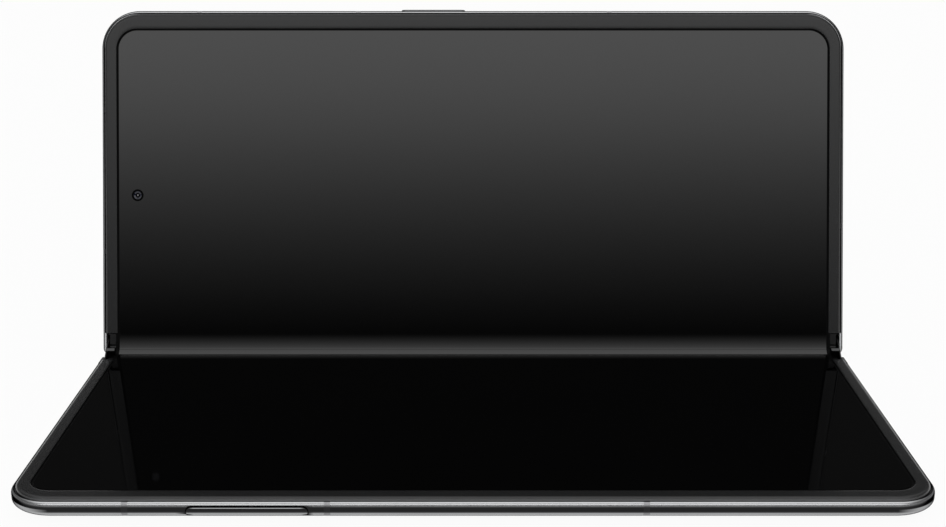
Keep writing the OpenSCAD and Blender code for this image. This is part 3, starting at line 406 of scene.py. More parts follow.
def ranged(tree, source, low, high, from_low=0.3, from_high=0.7, kind="LINEAR"):
    """The source spread from one range over another. The first range holds most of a noise by default."""
    change = tree.nodes.new("ShaderNodeMapRange")
    change.interpolation_type = kind
    change.inputs["From Min"].default_value = from_low
    change.inputs["From Max"].default_value = from_high
    change.inputs["To Min"].default_value = low
    change.inputs["To Max"].default_value = high
    tree.links.new(source, change.inputs["Value"])
    return change.outputs["Result"]


def mixed(tree, factor, low, high, kind="MIX"):
    """Two colours mixed, each given as red, green and blue or as a node's output."""
    mix = tree.nodes.new("ShaderNodeMix")
    mix.data_type = "RGBA"
    mix.blend_type = kind
    feed(tree, mix.inputs["Factor"], factor)
    for socket, colour in (("A", low), ("B", high)):
        feed(tree, mix.inputs[socket], (*colour, 1) if isinstance(colour, tuple) else colour)
    return mix.outputs["Result"]


def finish_of(name, low, high, metallic, rough, grain, bump=0.0, spread=40.0, stretch_by=(1, 1, 1), ior=1.5,
              level=0.5):
    """A surface whose colour drifts slowly and whose roughness and relief follow a fine grain."""
    tree, shader = principled(name, low, metallic, rough[0], ior)
    shader.inputs["Specular IOR Level"].default_value = level
    drift = ranged(tree, noise_of(tree, spread, 2.0), 0, 1)
    fine = noise_of(tree, grain, 4.0, stretch_by)
    tree.links.new(mixed(tree, drift, low, high), shader.inputs["Base Color"])
    tree.links.new(ranged(tree, fine, *rough), shader.inputs["Roughness"])
    if bump:
        relief = tree.nodes.new("ShaderNodeBump")
        relief.inputs["Strength"].default_value = 1.0
        relief.inputs["Distance"].default_value = bump
        tree.links.new(fine, relief.inputs["Height"])
        tree.links.new(relief.outputs["Normal"], shader.inputs["Normal"])


def edge_finish(name, dark, bright, rough=(0.24, 0.27), metallic=1.0):
    """An edge's surface, dark or bright by its vertices' painted light: the bright colour is painted
    highlight, the dark one holds the painted shade.
    """
    tree, shader = principled(name, dark, metallic, rough[0])
    shader.inputs["Specular Tint"].default_value = (0.08, 0.08, 0.08, 1)
    drift = mixed(tree, ranged(tree, noise_of(tree, 60.0, 2.0), 0, 1), (0.93, 0.93, 0.93), (1, 1, 1))
    base = mixed(tree, painted_light_of(tree), dark, bright)
    tree.links.new(mixed(tree, 1.0, base, drift, "MULTIPLY"), shader.inputs["Base Color"])
    tree.links.new(ranged(tree, noise_of(tree, 1800.0, 3.0), *rough), shader.inputs["Roughness"])


def bezel_finish(name, low, high, edge_highlight):
    """Soft black plastic, paler along its outer edge: a painted highlight."""
    tree, shader = principled(name, low, 0.0, 0.26, 1.45)
    plain = mixed(tree, ranged(tree, noise_of(tree, 60.0, 2.0), 0, 1), low, high)
    tree.links.new(mixed(tree, painted_light_of(tree), plain, edge_highlight), shader.inputs["Base Color"])
    tree.links.new(ranged(tree, noise_of(tree, 1500.0, 3.0), 0.25, 0.27), shader.inputs["Roughness"])


# The third colour is a painted highlight on the bezel's outer edge
bezel_finish("bezel_plastic", (0.0105, 0.0107, 0.0111), (0.0115, 0.0117, 0.0121), (0.2, 0.202, 0.206))

# Name, its dark colour, which carries painted shade, and its bright colour, which is painted highlight, the
# two ends of its roughness and metallic
edge_finish("frame_metal", (0.02, 0.02, 0.0205), (0.58, 0.585, 0.595))
edge_finish("rocker_metal", (0.03, 0.03, 0.031), (0.42, 0.425, 0.43))
edge_finish("cheek_metal", (0.004, 0.004, 0.0041), (0.7, 0.705, 0.715), (0.36, 0.4), 0.0)
edge_finish("break_plastic", (0.03, 0.03, 0.031), (0.42, 0.42, 0.43), (0.42, 0.46))

# Name, the two ends of its colour, metallic, the two ends of its roughness, its grain's scale and the
# grain's relief in metres. Brushed surfaces have their grain stretched along x.
BRUSHED = (0.1, 1, 1)
finish_of("key_metal", (0.1, 0.102, 0.105), (0.12, 0.122, 0.125), 1.0, (0.28, 0.32), 1800)
finish_of("web_steel", (0.06, 0.0605, 0.0615), (0.07, 0.0705, 0.0715), 1.0, (0.3, 0.36), 2000)
finish_of("dark_steel", (0.012, 0.012, 0.0122), (0.016, 0.016, 0.0163), 1.0, (0.3, 0.36), 2000)
finish_of("screen_film", (0.0003, 0.0003, 0.00035), (0.0005, 0.0005, 0.00055), 0.0, (0.05, 0.06), 700,
          ior=1.55)
finish_of("screen_border", (0.0008, 0.0008, 0.0009), (0.0012, 0.0012, 0.0013), 0.0, (0.5, 0.6), 1200,
          level=0.06)
finish_of("cover_glass", (0.002, 0.002, 0.0024), (0.003, 0.003, 0.0034), 0.0, (0.03, 0.05), 300)
finish_of("back_glass", (0.035, 0.035, 0.037), (0.042, 0.042, 0.045), 0.0, (0.38, 0.46), 5200, 5e-6)
finish_of("display_panel", (0.004, 0.004, 0.006), (0.006, 0.006, 0.009), 0.0, (0.2, 0.3), 600)
finish_of("chassis_metal", (0.42, 0.43, 0.45), (0.5, 0.51, 0.53), 1.0, (0.35, 0.5), 2200, 1e-5)
finish_of("spine_metal", (0.16, 0.16, 0.165), (0.2, 0.2, 0.205), 1.0, (0.3, 0.4), 2600, 4e-6,
          stretch_by=(0.06, 1, 1))
finish_of("cap_metal", (0.012, 0.012, 0.0125), (0.016, 0.016, 0.0165), 1.0, (0.18, 0.24), 1600)
finish_of("guard_plastic", (0.006, 0.0062, 0.0065), (0.008, 0.0082, 0.0087), 0.0, (0.3, 0.36), 1500, ior=1.33)
finish_of("hinge_steel", (0.45, 0.45, 0.47), (0.55, 0.55, 0.57), 1.0, (0.25, 0.4), 2400, 6e-6, 60,
          BRUSHED)
finish_of("gear_brass", (0.55, 0.4, 0.16), (0.66, 0.5, 0.22), 1.0, (0.2, 0.35), 2000, 4e-6)
finish_of("washer_steel", (0.3, 0.3, 0.32), (0.4, 0.4, 0.42), 1.0, (0.25, 0.4), 2000, 4e-6)
finish_of("battery_pack", (0.012, 0.012, 0.014), (0.02, 0.02, 0.023), 0.0, (0.3, 0.5), 500, 4e-5)
finish_of("board_laminate", (0.004, 0.05, 0.022), (0.006, 0.075, 0.034), 0.0, (0.25, 0.45), 1800, 1e-5)
finish_of("shield_tin", (0.5, 0.51, 0.52), (0.6, 0.61, 0.62), 1.0, (0.25, 0.4), 900, 1e-5)
finish_of("speaker_plastic", (0.02, 0.02, 0.02), (0.03, 0.03, 0.03), 0.0, (0.4, 0.55), 1200, 1e-5)
finish_of("flex_film", (0.2, 0.08, 0.01), (0.28, 0.12, 0.015), 0.0, (0.2, 0.35), 900, 4e-6, 40, BRUSHED)
finish_of("coil_copper", (0.5, 0.22, 0.1), (0.62, 0.3, 0.14), 1.0, (0.25, 0.4), 1500, 1e-5)
finish_of("camera_body", (0.006, 0.006, 0.006), (0.01, 0.01, 0.01), 0.0, (0.35, 0.5), 1500, 5e-6)
finish_of("hole_black", (0.0003, 0.0003, 0.0003), (0.0006, 0.0006, 0.0006), 0.0, (0.5, 0.6), 1500, ior=1.12)
finish_of("coated_lens", (0.004, 0.006, 0.02), (0.006, 0.009, 0.03), 0.0, (0.04, 0.06), 400, ior=2.6)
finish_of("lens_glass", (0.005, 0.007, 0.02), (0.007, 0.011, 0.03), 0.0, (0.02, 0.04), 400)
finish_of("island_metal", (0.12, 0.12, 0.124), (0.145, 0.145, 0.15), 1.0, (0.36, 0.46), 4200, 6e-6)
finish_of("ring_metal", (0.3, 0.3, 0.31), (0.38, 0.38, 0.39), 1.0, (0.15, 0.25), 2600, 3e-6)
finish_of("flash_plastic", (0.62, 0.57, 0.42), (0.7, 0.66, 0.5), 0.0, (0.2, 0.35), 1600, 3e-5)
finish_of("port_steel", (0.38, 0.39, 0.4), (0.48, 0.49, 0.5), 1.0, (0.25, 0.4), 1500, 5e-6)
finish_of("screw_steel", (0.12, 0.12, 0.125), (0.16, 0.16, 0.165), 1.0, (0.3, 0.4), 1500, 4e-6)

for part in frame["record"]["subparts"]:
    NODES[part["node"]].data.materials.clear()
    NODES[part["node"]].data.materials.append(MATERIALS[part["material_slot"]])
for name in ("hinge_pins", "friction_washers"):
    NODES[name].data.materials[0] = MATERIALS["dark_steel"]


# ---- Frames and antenna breaks ----
FRAME_START = 5.0
EDGE_BREAKS = (-57.8, -24.2, 28.8)
TOP_BREAKS = (22.36, 52.36)
BOTTOM_BREAKS = (27.76, 46.86)
BREAK_WIDTH, BREAK_DEPTH, BREAK_RISE = 1.07, 0.8, 0.48
FRAME_PATH = ring_path(FRAME_START)
TOTAL_LENGTH = path_marks(FRAME_PATH)[-1]
# Painted shade on the upper half's shoulder: its painted highlight is scaled down by this
LID_SHOULDER_PAINTED_SHADE = 0.2
RAIL_START, RAIL_TOP, RAIL_END = 0.4, -2.7, 6.5
RAIL_STEPS = 24
SPINE_ROOM = 2.65

# Openings: pills as (length, height, x, u), and round holes by their place along the short side
SLOT_DEPTH, OUTSIDE = 1.7, -1.0
KEY_U = -1.75
POWER_X, ROCKER_X, TRAY_X = -8.4, -41.0, -37.5
LID_SLOTS = ((13.7, 2.1, POWER_X, KEY_U), (22.2, 2.1, ROCKER_X, KEY_U))
BASE_SLOTS = ((20.46, 2.16, TRAY_X, -2.0),)
END_X, HOLE_X, PORT_X = 79.5, 76.5, 75.7
PORT_LENGTH, PORT_HEIGHT, PORT_S, PORT_U = 8.54, 2.56, 37.3, -2.3
HOLE_RADIUS, HOLE_U = 0.45, -1.75
LID_HOLES = (50.5, 52.5, 54.5, 56.5, 58.5, 24.0)
BASE_HOLES = (34.0, 36.0, 38.0, 40.0)


def break_distances():
    """Distances along the frame's path at which each antenna break starts and ends."""
    middles = [s - FRAME_START for s in TOP_BREAKS]
    middles += [TOTAL_LENGTH / 2 + x for x in EDGE_BREAKS]
    middles += [TOTAL_LENGTH - (s - FRAME_START) for s in BOTTOM_BREAKS]
    return [(m - BREAK_WIDTH / 2, m + BREAK_WIDTH / 2) for m in sorted(middles)]


def frame_ring(build, shoulder_painted_shade):
    """The frame's edge between its breaks; its shoulder can get painted shade outward of its inner line."""
    edges = [0.0] + [d for pair in break_distances() for d in pair] + [TOTAL_LENGTH]
    painted_lights = METAL_PAINTED_LIGHT + [INSIDE_TONE] * 4 + [0.0] * (len(INNER) - 4)
    painted_lights = [t * shoulder_painted_shade if 4 <= i < len(SHOULDER) else t for i, t in enumerate(painted_lights)]
    for start, end in zip(edges[::2], edges[1::2]):
        swept(build, METAL + INNER, stretch(FRAME_PATH, start, end), painted_lights)


def hinge_rail(build):
    """The back lip that wraps the spine, and the strip of metal between it and the back glass."""
    def across(section, s):
        """A loop over the half's whole length, from a section of (inset, u) and its mirror image."""
        return ([(inset - HALF_LENGTH, s, u) for inset, u in section]
                + [(HALF_LENGTH - inset, s, u) for inset, u in section[::-1]])

    section = [(inset_at(RAIL_TOP), RAIL_TOP)] + [q for q in METAL + GLASS[1:] if q[1] <= RAIL_TOP + 1e-6]
    rows = []
    for i in range(RAIL_STEPS + 1):
        s = RAIL_START + (FRAME_START - RAIL_START) * i / RAIL_STEPS
        room = SPINE_ROOM ** 2 - max(0.0, s - AXIS_S) ** 2
        top = min(RAIL_TOP, -AXIS_DROP - math.sqrt(max(0.0, room)))
        rows.append(across([(inset, min(u, top)) for inset, u in section], s))
    stack(build, rows, [[INSIDE_TONE] * len(rows[0])] * len(rows))
    stack(build, [across(INNER[:1] + GLASS, s) for s in (FRAME_START, RAIL_END)])


def make_frame(half):
    build = Build()
    frame_ring(build, LID_SHOULDER_PAINTED_SHADE if half == "lid" else 1.0)
    hinge_rail(build)
    piece = mesh_piece(half + "_frame_shell", build, half, "frame_metal", [half + "_frame"])
    slots = LID_SLOTS if half == "lid" else BASE_SLOTS
    cutters = [edge_plug(*slot, OUTSIDE, SLOT_DEPTH) for slot in slots]
    if half == "lid":
        port = [(PORT_S + p, PORT_U + q) for p, q in pill_outline(PORT_LENGTH, PORT_HEIGHT)]
        cutters.append(extruded(Build(), port, PORT_X, END_X))
        cutters += [tube(HOLE_X, END_X, s, HOLE_U, HOLE_RADIUS) for s in LID_HOLES]
    else:
        cutters += [tube(-END_X, -HOLE_X, s, HOLE_U, HOLE_RADIUS) for s in BASE_HOLES]
    cut(piece, half, cutters)


def make_breaks(half):
    """Plastic in the gaps of the frame's edge, with the same section outside, and the frame's painted
    highlights and painted shade.
    """
    build = Build()
    last = len(METAL) - 1
    inner = [(inset + BREAK_DEPTH * (1 - i / last), u + BREAK_RISE * i / last)
             for i, (inset, u) in enumerate(METAL)][::-1]
    for start, end in break_distances():
        swept(build, METAL + inner, stretch(FRAME_PATH, start, end), METAL_PAINTED_LIGHT + [0.0] * len(METAL))
    mesh_piece(half + "_breaks", build, half, "break_plastic", [half + "_antenna_breaks"])


# ---- Bezels ----
BEZEL_START = 5.1
BEZEL_OUTSIDE, BEZEL_BOTTOM, BEZEL_RISE = 0.76, -0.5, 0.2
BEZEL_TOP = (1.45, BEZEL_RISE)
BEZEL_CURVE = bezier((BEZEL_OUTSIDE, BEZEL_BOTTOM), (BEZEL_OUTSIDE, BEZEL_RISE), BEZEL_TOP, 14)
BEZEL_LIP = 0.12
BEZEL_SEAT, BEZEL_FOOT = 2.2, -0.02
OPENING_SIDE, OPENING_OUTER, OPENING_RADIUS = 3.25, 3.8, 4.4
BEZEL_REACH = {"base": 3.66, "lid": 3.86}


def opening_path(path, inset_side, inset_outer, radius):
    """The bezel's inner edge, point by point beside the outermost line."""
    out = []
    start = path[0][1]
    corner_x, corner_s = HALF_LENGTH - inset_side - radius, HALF_DEPTH - inset_outer - radius
    for x, s, nx, ns in path:
        if abs(ns) < 1e-9:
            share = (s - start) / (HALF_DEPTH - CORNER - start)
            out.append((-nx * (HALF_LENGTH - inset_side), start + share * (corner_s - start)))
        elif abs(nx) < 1e-9 and abs(x) < HALF_LENGTH - CORNER - 1e-6:
            out.append((x / (HALF_LENGTH - CORNER) * corner_x, HALF_DEPTH - inset_outer))
        else:
            out.append((math.copysign(corner_x, x) - radius * nx, corner_s - radius * ns))
    return out


def make_bezel(half):
    """The rim round the screen: rounded outside with a painted highlight on its long outer edge, flat on top,
    and with a small lip inside.
    """
    path = ring_path(BEZEL_START)
    opening = opening_path(path, OPENING_SIDE, BEZEL_REACH[half], OPENING_RADIUS)
    rows = []
    for q, (x, s) in zip(path, opening):
        top_x, top_s, top_u = set_in(q, *BEZEL_TOP)
        width = math.hypot(top_x - x, top_s - s)
        dx, ds = (top_x - x) / width, (top_s - s) / width
        row = [set_in(q, inset, u) for inset, u in BEZEL_CURVE]
        for k in range(1, 4):
            way = k / 4 * (width - BEZEL_LIP)
            row.append((top_x - dx * way, top_s - ds * way, top_u))
        for a in quarter(5):
            back, drop = BEZEL_LIP * (1 - math.sin(a)), BEZEL_LIP * (1 - math.cos(a))
            row.append((x + dx * back, s + ds * back, top_u - drop))
        row += [(x, s, BEZEL_FOOT), set_in(q, BEZEL_SEAT, BEZEL_FOOT), set_in(q, BEZEL_SEAT, BEZEL_BOTTOM)]
        rows.append(row)
    last = len(BEZEL_CURVE) - 1
    # Painted highlight on the outer curve, strongest outermost, on the long side only
    edge_highlight = [(1 - i / last) ** 3 for i in range(last + 1)] + [0.0] * (len(rows[0]) - last - 1)
    painted_lights = [[t * abs(q[3]) ** 8 for t in edge_highlight] for q in path]
    mesh_piece(half + "_bezel_ring", stack(Build(), rows, painted_lights), half, "bezel_plastic", [half + "_bezel"])


# ---- Screens and the strips that bend ----
LIT_X = 74.8
BORDER, BORDER_TOP, UNDER_INSET, UNDER_RADIUS = 0.45, -0.08, 2.6, 5.0
INNER_CAMERA = (-70.9, 34.26)
CAMERA_HOLE = 1.25
# The fold's line: its straight start, the turn a millimetre after it, the sharp turn and the crease
FOLD_FREE, FOLD_EASE, FOLD_STEP = 1.1, math.radians(1.3), 0.002
TIGHT_RADIUS, SOFT_SLOPE, CREASE_Z = 0.5, math.radians(11), -0.46
STEPS_APART, LEAST_APART = 150, 0.15
BEND_STEPS = 12
THIN_FILM, BORDER_DROP = 0.06, 0.03
FLEX_REACH, FLEX_TOP, FLEX_BOTTOM = 8.6, -2.2, -2.3
FLEX_WIDTHS = [(-30, -18), (18, 30)]


def make_screen(half, node_name, camera_hole=False):
    """The flat film, and a dark border strip round it that goes under the bezel."""
    path = ring_path(FOLD_LENGTH)
    lit = opening_path(path, OPENING_SIDE + BORDER, OPENING_OUTER + BORDER, OPENING_RADIUS - BORDER)
    under = opening_path(path, UNDER_INSET, UNDER_INSET, UNDER_RADIUS)
    film = stack(Build(), [[(x, s, u) for x, s in lit] for u in (-FILM, 0.0)])
    piece = mesh_piece(half + "_screen_film", film, half, "screen_film", [node_name])
    if camera_hole:
        cut(piece, half, [turned_piece(*INNER_CAMERA, [(CAMERA_HOLE, -1.0), (CAMERA_HOLE, 1.0)])])
    border = Build()
    border.grid([[(x, s, u) for x, s in line] for line, u in
                 ((under, -FILM), (under, BORDER_TOP), (lit, BORDER_TOP), (lit, -FILM))],
                closed_rows=True, closed_columns=True)
    mesh_piece(half + "_screen_border", border, half, "screen_film", material="screen_border")


def folded(s, u, share=1.0):
    """A point of a half, turned up about the spine's axis, in the spine's frame."""
    q = turned((s - AXIS_S, u + AXIS_DROP), HALF_FOLD * share)
    return (AXIS_S + q[0], q[1] - AXIS_DROP)


def fold_line():
    """The screen's surface from the flat of a half to the crease, as (y, z, slope) in the spine's frame.

    It eases off the flat by FOLD_EASE a millimetre, turns sharply, and then rounds the crease gently."""
    y, z = folded(FOLD_LENGTH, 0.0)
    slope, run, soft = HALF_FOLD, 0.0, SOFT_SLOPE
    line = [(y, z, slope)]
    while True:
        near_y = y - TIGHT_RADIUS * (math.sin(slope) - math.sin(soft))
        near_z = z - TIGHT_RADIUS * (math.cos(soft) - math.cos(slope))
        radius = near_y / math.sin(soft)
        if near_z - radius * (1 - math.cos(soft)) <= CREASE_Z:
            break
        y -= FOLD_STEP * math.cos(slope)
        z -= FOLD_STEP * math.sin(slope)
        run += FOLD_STEP
        slope = HALF_FOLD - FOLD_EASE * max(0.0, run - FOLD_FREE)
        if round(run / FOLD_STEP) % STEPS_APART == 0:
            line.append((y, z, slope))
    if math.hypot(y - line[-1][0], z - line[-1][1]) < LEAST_APART:
        line.pop()
    line.append((y, z, slope))
    for i in range(1, BEND_STEPS + 1):
        a = slope + (soft - slope) * i / BEND_STEPS
        line.append((y - TIGHT_RADIUS * (math.sin(slope) - math.sin(a)),
                     z - TIGHT_RADIUS * (math.cos(a) - math.cos(slope)), a))
    for i in range(1, BEND_STEPS + 1):
        a = soft * (1 - i / BEND_STEPS)
        line.append((radius * math.sin(a), near_z - radius * (math.cos(a) - math.cos(soft)), a))
    return line


def flex_line(height, count=36):
    """A strip that is flat when the phone is: each point's turn follows its place along the strip."""
    outer = folded(FLEX_REACH, 0.0)
    squared = outer[0] ** 2 + outer[1] ** 2
    points = []
    for i in range(count + 1):
        t = i / count
        share = 1 - t * t * (3 - 2 * t)
        a, b = folded(0.0, height, share), folded(1.0, height, share)
        ta, tb = (1 - (q[0] * outer[0] + q[1] * outer[1]) / squared for q in (a, b))
        points.append(folded((t - ta) / (tb - ta), height, share))
    return points


def make_fold(name, side, lines, widths, slot, nodes=(), material=None):
    """A flexible strip that bends between its end on a half and its end on the spine.

    Side -1 joins the lower half to the spine, and 1 the upper."""
    build = Build()
    outline = [(side * y, z) for y, z in lines[0] + lines[1][::-1]]
    for x0, x1 in widths:
        rows = [[(x0, y, z), (x1, y, z)] for y, z in outline]
        first = build.grid(rows, closed_rows=True)
        build.cap([first + 2 * i for i in range(len(rows))])
        build.cap([first + 2 * i + 1 for i in range(len(rows))][::-1])
    piece = linked_object(name, build, on_spine)
    finish_mesh(piece, 40)
    piece.data.materials.append(MATERIALS[material or slot])
    if side < 0:
        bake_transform(piece)
    else:
        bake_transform(piece)
    if nodes:
        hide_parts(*nodes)


def make_folds(side, name):
    """The bending stretch of the screen, with its dark borders, and the flex strips beneath."""
    line = fold_line()
    eased = len(line) - 2 * BEND_STEPS - 2
    depths = [FILM + (THIN_FILM - FILM) * min(1.0, 2 * i / eased) for i in range(len(line))]

    def lowered(drops):
        return [(y + d * math.sin(a) if y > 1e-6 else y, z - d * math.cos(a))
                for (y, z, a), d in zip(line, drops)]

    top, below, bottom = lowered([0.0] * len(line)), lowered([BORDER_DROP] * len(line)), lowered(depths)
    make_fold("fold_film_" + name, side, (top, bottom), [(-LIT_X, LIT_X)], "screen_film",
              ["display_fold_" + name])
    make_fold("fold_border_" + name, side, (below, bottom), [(-FOLD_X, -LIT_X), (LIT_X, FOLD_X)],
              "screen_film", material="screen_border")
    make_fold("flex_strips_" + name, side, (flex_line(FLEX_TOP), flex_line(FLEX_BOTTOM)),
              FLEX_WIDTHS, "flex_film", ["hinge_flex_" + name])


# ---- Glass backs ----
GLASS_START = 6.55
GLASS_DEPTH, GLASS_RIM_DEPTH = 0.55, 0.33


def make_glass(half, slot):
    """The curved plate on a half's back, thinner at its rim."""
    path = ring_path(GLASS_START)
    rim, flat = GLASS[0], GLASS[-1]
    section = GLASS + [(flat[0], flat[1] + GLASS_DEPTH), (rim[0], rim[1] + GLASS_RIM_DEPTH)]
    build = Build()
    build.grid([[set_in(q, inset, u) for q in path] for inset, u in section],
               closed_rows=True, closed_columns=True)
    outside, inside = (len(GLASS) - 1) * len(path), len(GLASS) * len(path)
    build.cap(range(outside, inside))
    build.cap(range(inside + len(path) - 1, inside - 1, -1))
    mesh_piece(half + "_glass_shell", build, half, slot, [slot], sharp=25)


for half in ("base", "lid"):
    make_frame(half)
    make_breaks(half)
    make_bezel(half)
make_screen("base", "display_lower")
make_screen("lid", "display_upper", camera_hole=True)
make_glass("base", "cover_glass")
make_glass("lid", "back_glass")
make_folds(-1, "lower")
make_folds(1, "upper")


# ---- Keys and tray: each is a pill as (length, height, x, u) ----
POWER_KEY = (13.5, 1.9, POWER_X, KEY_U)
ROCKER = (22.0, 1.9, ROCKER_X, KEY_U)
TRAY_DOOR = (20.2, 1.68, TRAY_X, -2.1)
KEY_PROUD, KEY_DEPTH, KEY_ROUND = 0.25, 1.3, 0.12
# The tray door's top rim gets a painted highlight line of this strength
ROCKER_DEPTH, DOOR_DEPTH, DOOR_RIM_HIGHLIGHT = 1.35, 1.3, 0.8
BLADE_X, BLADE_S, BLADE_U = (-45.6, -29.4), (56.25, 72.0), (-2.45, -1.55)


def make_keys():
    key = edge_plug(*POWER_KEY, -KEY_PROUD, KEY_DEPTH, KEY_ROUND)
    mesh_piece("power_key_cap", key, "power_key", "key_metal", ["power_key"])
    edge_skin("volume_rocker_cap", "volume_rocker", ROCKER, ROCKER_DEPTH, "key_metal", ["volume_rocker"],
              material="rocker_metal")
    edge_skin("sim_tray_door", "sim_tray", TRAY_DOOR, DOOR_DEPTH, "frame_metal", rim=DOOR_RIM_HIGHLIGHT)
    card = [(BLADE_X[i], BLADE_S[j]) for i, j in ((0, 0), (1, 0), (1, 1), (0, 1))]
    tray = stack(Build(), [[(x, s, u) for x, s in card] for u in BLADE_U])
    mesh_piece("sim_tray_blade", tray, "sim_tray", "frame_metal", ["sim_tray"])


def edge_skin(name, body, pill, depth, slot, nodes=(), material=None, rim=0.0):
    """A pill cut from the outer edge itself, so that it carries the edge's curve and its painted highlights;
    its top rim can get a painted highlight line.
    """
    length, height, x, u = pill
    inner = [(depth, METAL[-1][1]), (depth, INNER[-2][1])] + INNER[-2:]
    marked = [(q, t) for q, t in zip(METAL, METAL_PAINTED_LIGHT) if q[0] < depth]
    if rim:
        top = u + height / 2
        marked = [m for m in marked if not top - 0.2 < m[0][1] < top + 0.02]
        # A painted highlight line along the top rim
        for drop, painted_light in ((-0.01, rim), (0.07, rim), (0.14, rim), (0.18, 0.0)):
            marked.append(((inset_at(top - drop), top - drop), painted_light))
        marked.sort(key=lambda m: -m[0][1])
    outer = [q for q, t in marked]
    painted_lights = [t for q, t in marked] + [0.0] * len(inner)
    build, steps = Build(), int(length)
    path = [(x - length / 2 - 1 + (length + 2) * i / steps, HALF_DEPTH, 0.0, -1.0) for i in range(steps + 1)]
    swept(build, outer + inner, path, painted_lights)
    piece = mesh_piece(name, build, body, slot, nodes, material)
    cut(piece, body, [edge_plug(*pill, OUTSIDE, depth + 1)], operation="INTERSECT")


make_keys()


# ---- The hinge's ends: guards, and the frame's side carried on over them ----
GUARD_X = (75.7, 76.95)
GUARD_BOTTOM, GUARD_TOP = -2.95, -0.45
GUARD_TIP_S, GUARD_TIP_RADIUS = 2.9, 1.0
KNUCKLE_RADIUS = 1.1
GUARD_FOOT = [(8.2, GUARD_BOTTOM), (8.2, -2.05), (4.95, -2.05), (4.95, -0.5), (4.9, GUARD_TOP)]
GUARD_UNDERSIDE = [(1.9, -2.6), (4.3, -2.6), (4.3, GUARD_BOTTOM)]
CHEEK_REACH, CHEEK_STEPS = 4.35, 36
CHEEK_GAP, CHEEK_DEPTH = 0.12, 0.75
SHELF_IN, SHELF_OUT, SHELF_DROP = 0.62, 0.34, 0.9
CHEEK_ROUND, CHEEK_ROUND_DROP = 0.28, 0.16
TIP_RADIUS, TIP_TAPER = 1.22, 0.3
# Painted highlight on the cheeks' shelf: strong on the upper half, faint on the lower
SHELF_PAINTED_HIGHLIGHT = {"base": 0.1, "lid": 1.0}


def make_guards(half):
    """Dark plates with a rounded end, beside the bending stretch of the screen, and their knuckles."""
    build = Build()
    tip = [(GUARD_TIP_S - GUARD_TIP_RADIUS * math.sin(a), GUARD_TOP - GUARD_TIP_RADIUS * (1 - math.cos(a)))
           for a in quarter(12)]
    for side in (-1, 1):
        for section in (GUARD_FOOT + tip + GUARD_UNDERSIDE, circle(AXIS_S, -AXIS_DROP, KNUCKLE_RADIUS, 32)):
            extruded(build, section, side * GUARD_X[0], side * GUARD_X[1])
    mesh_piece(half + "_end_plates", build, half, "guard_plastic", [half + "_end_guards"])


def make_cheeks(half):
    """The frame's side carried on as a thin skin over the hinge's end, to a round tip about the axis, with a
    painted highlight on its shelf's top.
    """
    build = Build()
    lit = SHELF_PAINTED_HIGHLIGHT[half]
    for side in (-1, 1):
        loops = []
        for k in range(CHEEK_STEPS + 1):
            s = BEZEL_START - CHEEK_REACH * k / CHEEK_STEPS
            reach = max(0.0, (AXIS_S - s) / TIP_RADIUS)
            half_width = TIP_RADIUS * math.sqrt(max(0.0, 1 - reach ** 2))
            top = min(GUARD_TOP, -AXIS_DROP + half_width)
            bottom = GUARD_BOTTOM if s >= AXIS_S else -AXIS_DROP - half_width
            height = top - bottom
            soft, shelf = min(CHEEK_ROUND_DROP, height / 3), top - min(SHELF_DROP, height / 3)
            outline = [(CHEEK_DEPTH, bottom), (CHEEK_DEPTH, shelf), (SHELF_IN, shelf), (SHELF_IN, top),
                       (SHELF_OUT, top)]
            outline += [(CHEEK_ROUND * (1 - math.sin(a)), top - soft * (1 - math.cos(a)))
                        for a in quarter(4)[1:]]
            outline += [(0.0, top - soft - 0.2 * height), (0.0, bottom + soft), (CHEEK_ROUND_DROP, bottom)]
            face = HALF_LENGTH - CHEEK_GAP - TIP_TAPER * reach ** 2
            loops.append([(side * (face - p * (1 - 0.4 * reach)), s, u) for p, u in outline])
        # Painted light: a painted highlight on the shelf's top, and a faint one at the bottom edge
        painted_lights = [0.0, 0.0, 0.0, lit, lit, 0.0, 0.0, 0.0, 0.0, 0.0, 0.0, 0.1]
        stack(build, loops, [painted_lights] * len(loops))
    mesh_piece(half + "_hinge_cheeks", build, half, "frame_metal", material="cheek_metal")


# ---- Spine. Its end blocks' feet are (half their depth, bottom, top, inner x, outer x) ----
SPINE_END, SPINE_RADIUS, SPINE_INNER = 77.3, 2.55, 2.15
SPINE_EDGE_Z = -AXIS_DROP - SPINE_RADIUS * math.sin(math.radians(28))
CAP_EDGE_Z = 0.1
CAP_STEPS = ((0, 0), (0.16, 0), (0.25, 0.03), (0.3, 0.1))
BLOCK_X, WEB_END = 75.65, 77.35
BLOCKS = ((0.65, -4.0, -1.6, BLOCK_X, 77.2), (1.95, -3.9, -3.0, 73.2, 75.6))
WEB_HALF, WEB_TOP, WEB_BOTTOM, WEB_ROUND = 0.37, 0.5, -1.7, 0.12


def spine_arc(radius, edge_z, steps=40):
    """Outline of the spine's cover below a height, from its upper-half side round to the lower."""
    a = math.asin(min(1.0, max(-1.0, (edge_z + AXIS_DROP) / radius)))
    right = [(AXIS_S + radius * math.cos(t), -AXIS_DROP + radius * math.sin(t))
             for t in [a - (a + math.pi / 2) * i / steps for i in range(steps + 1)]]
    return right + [(-y, z) for y, z in right[::-1]]


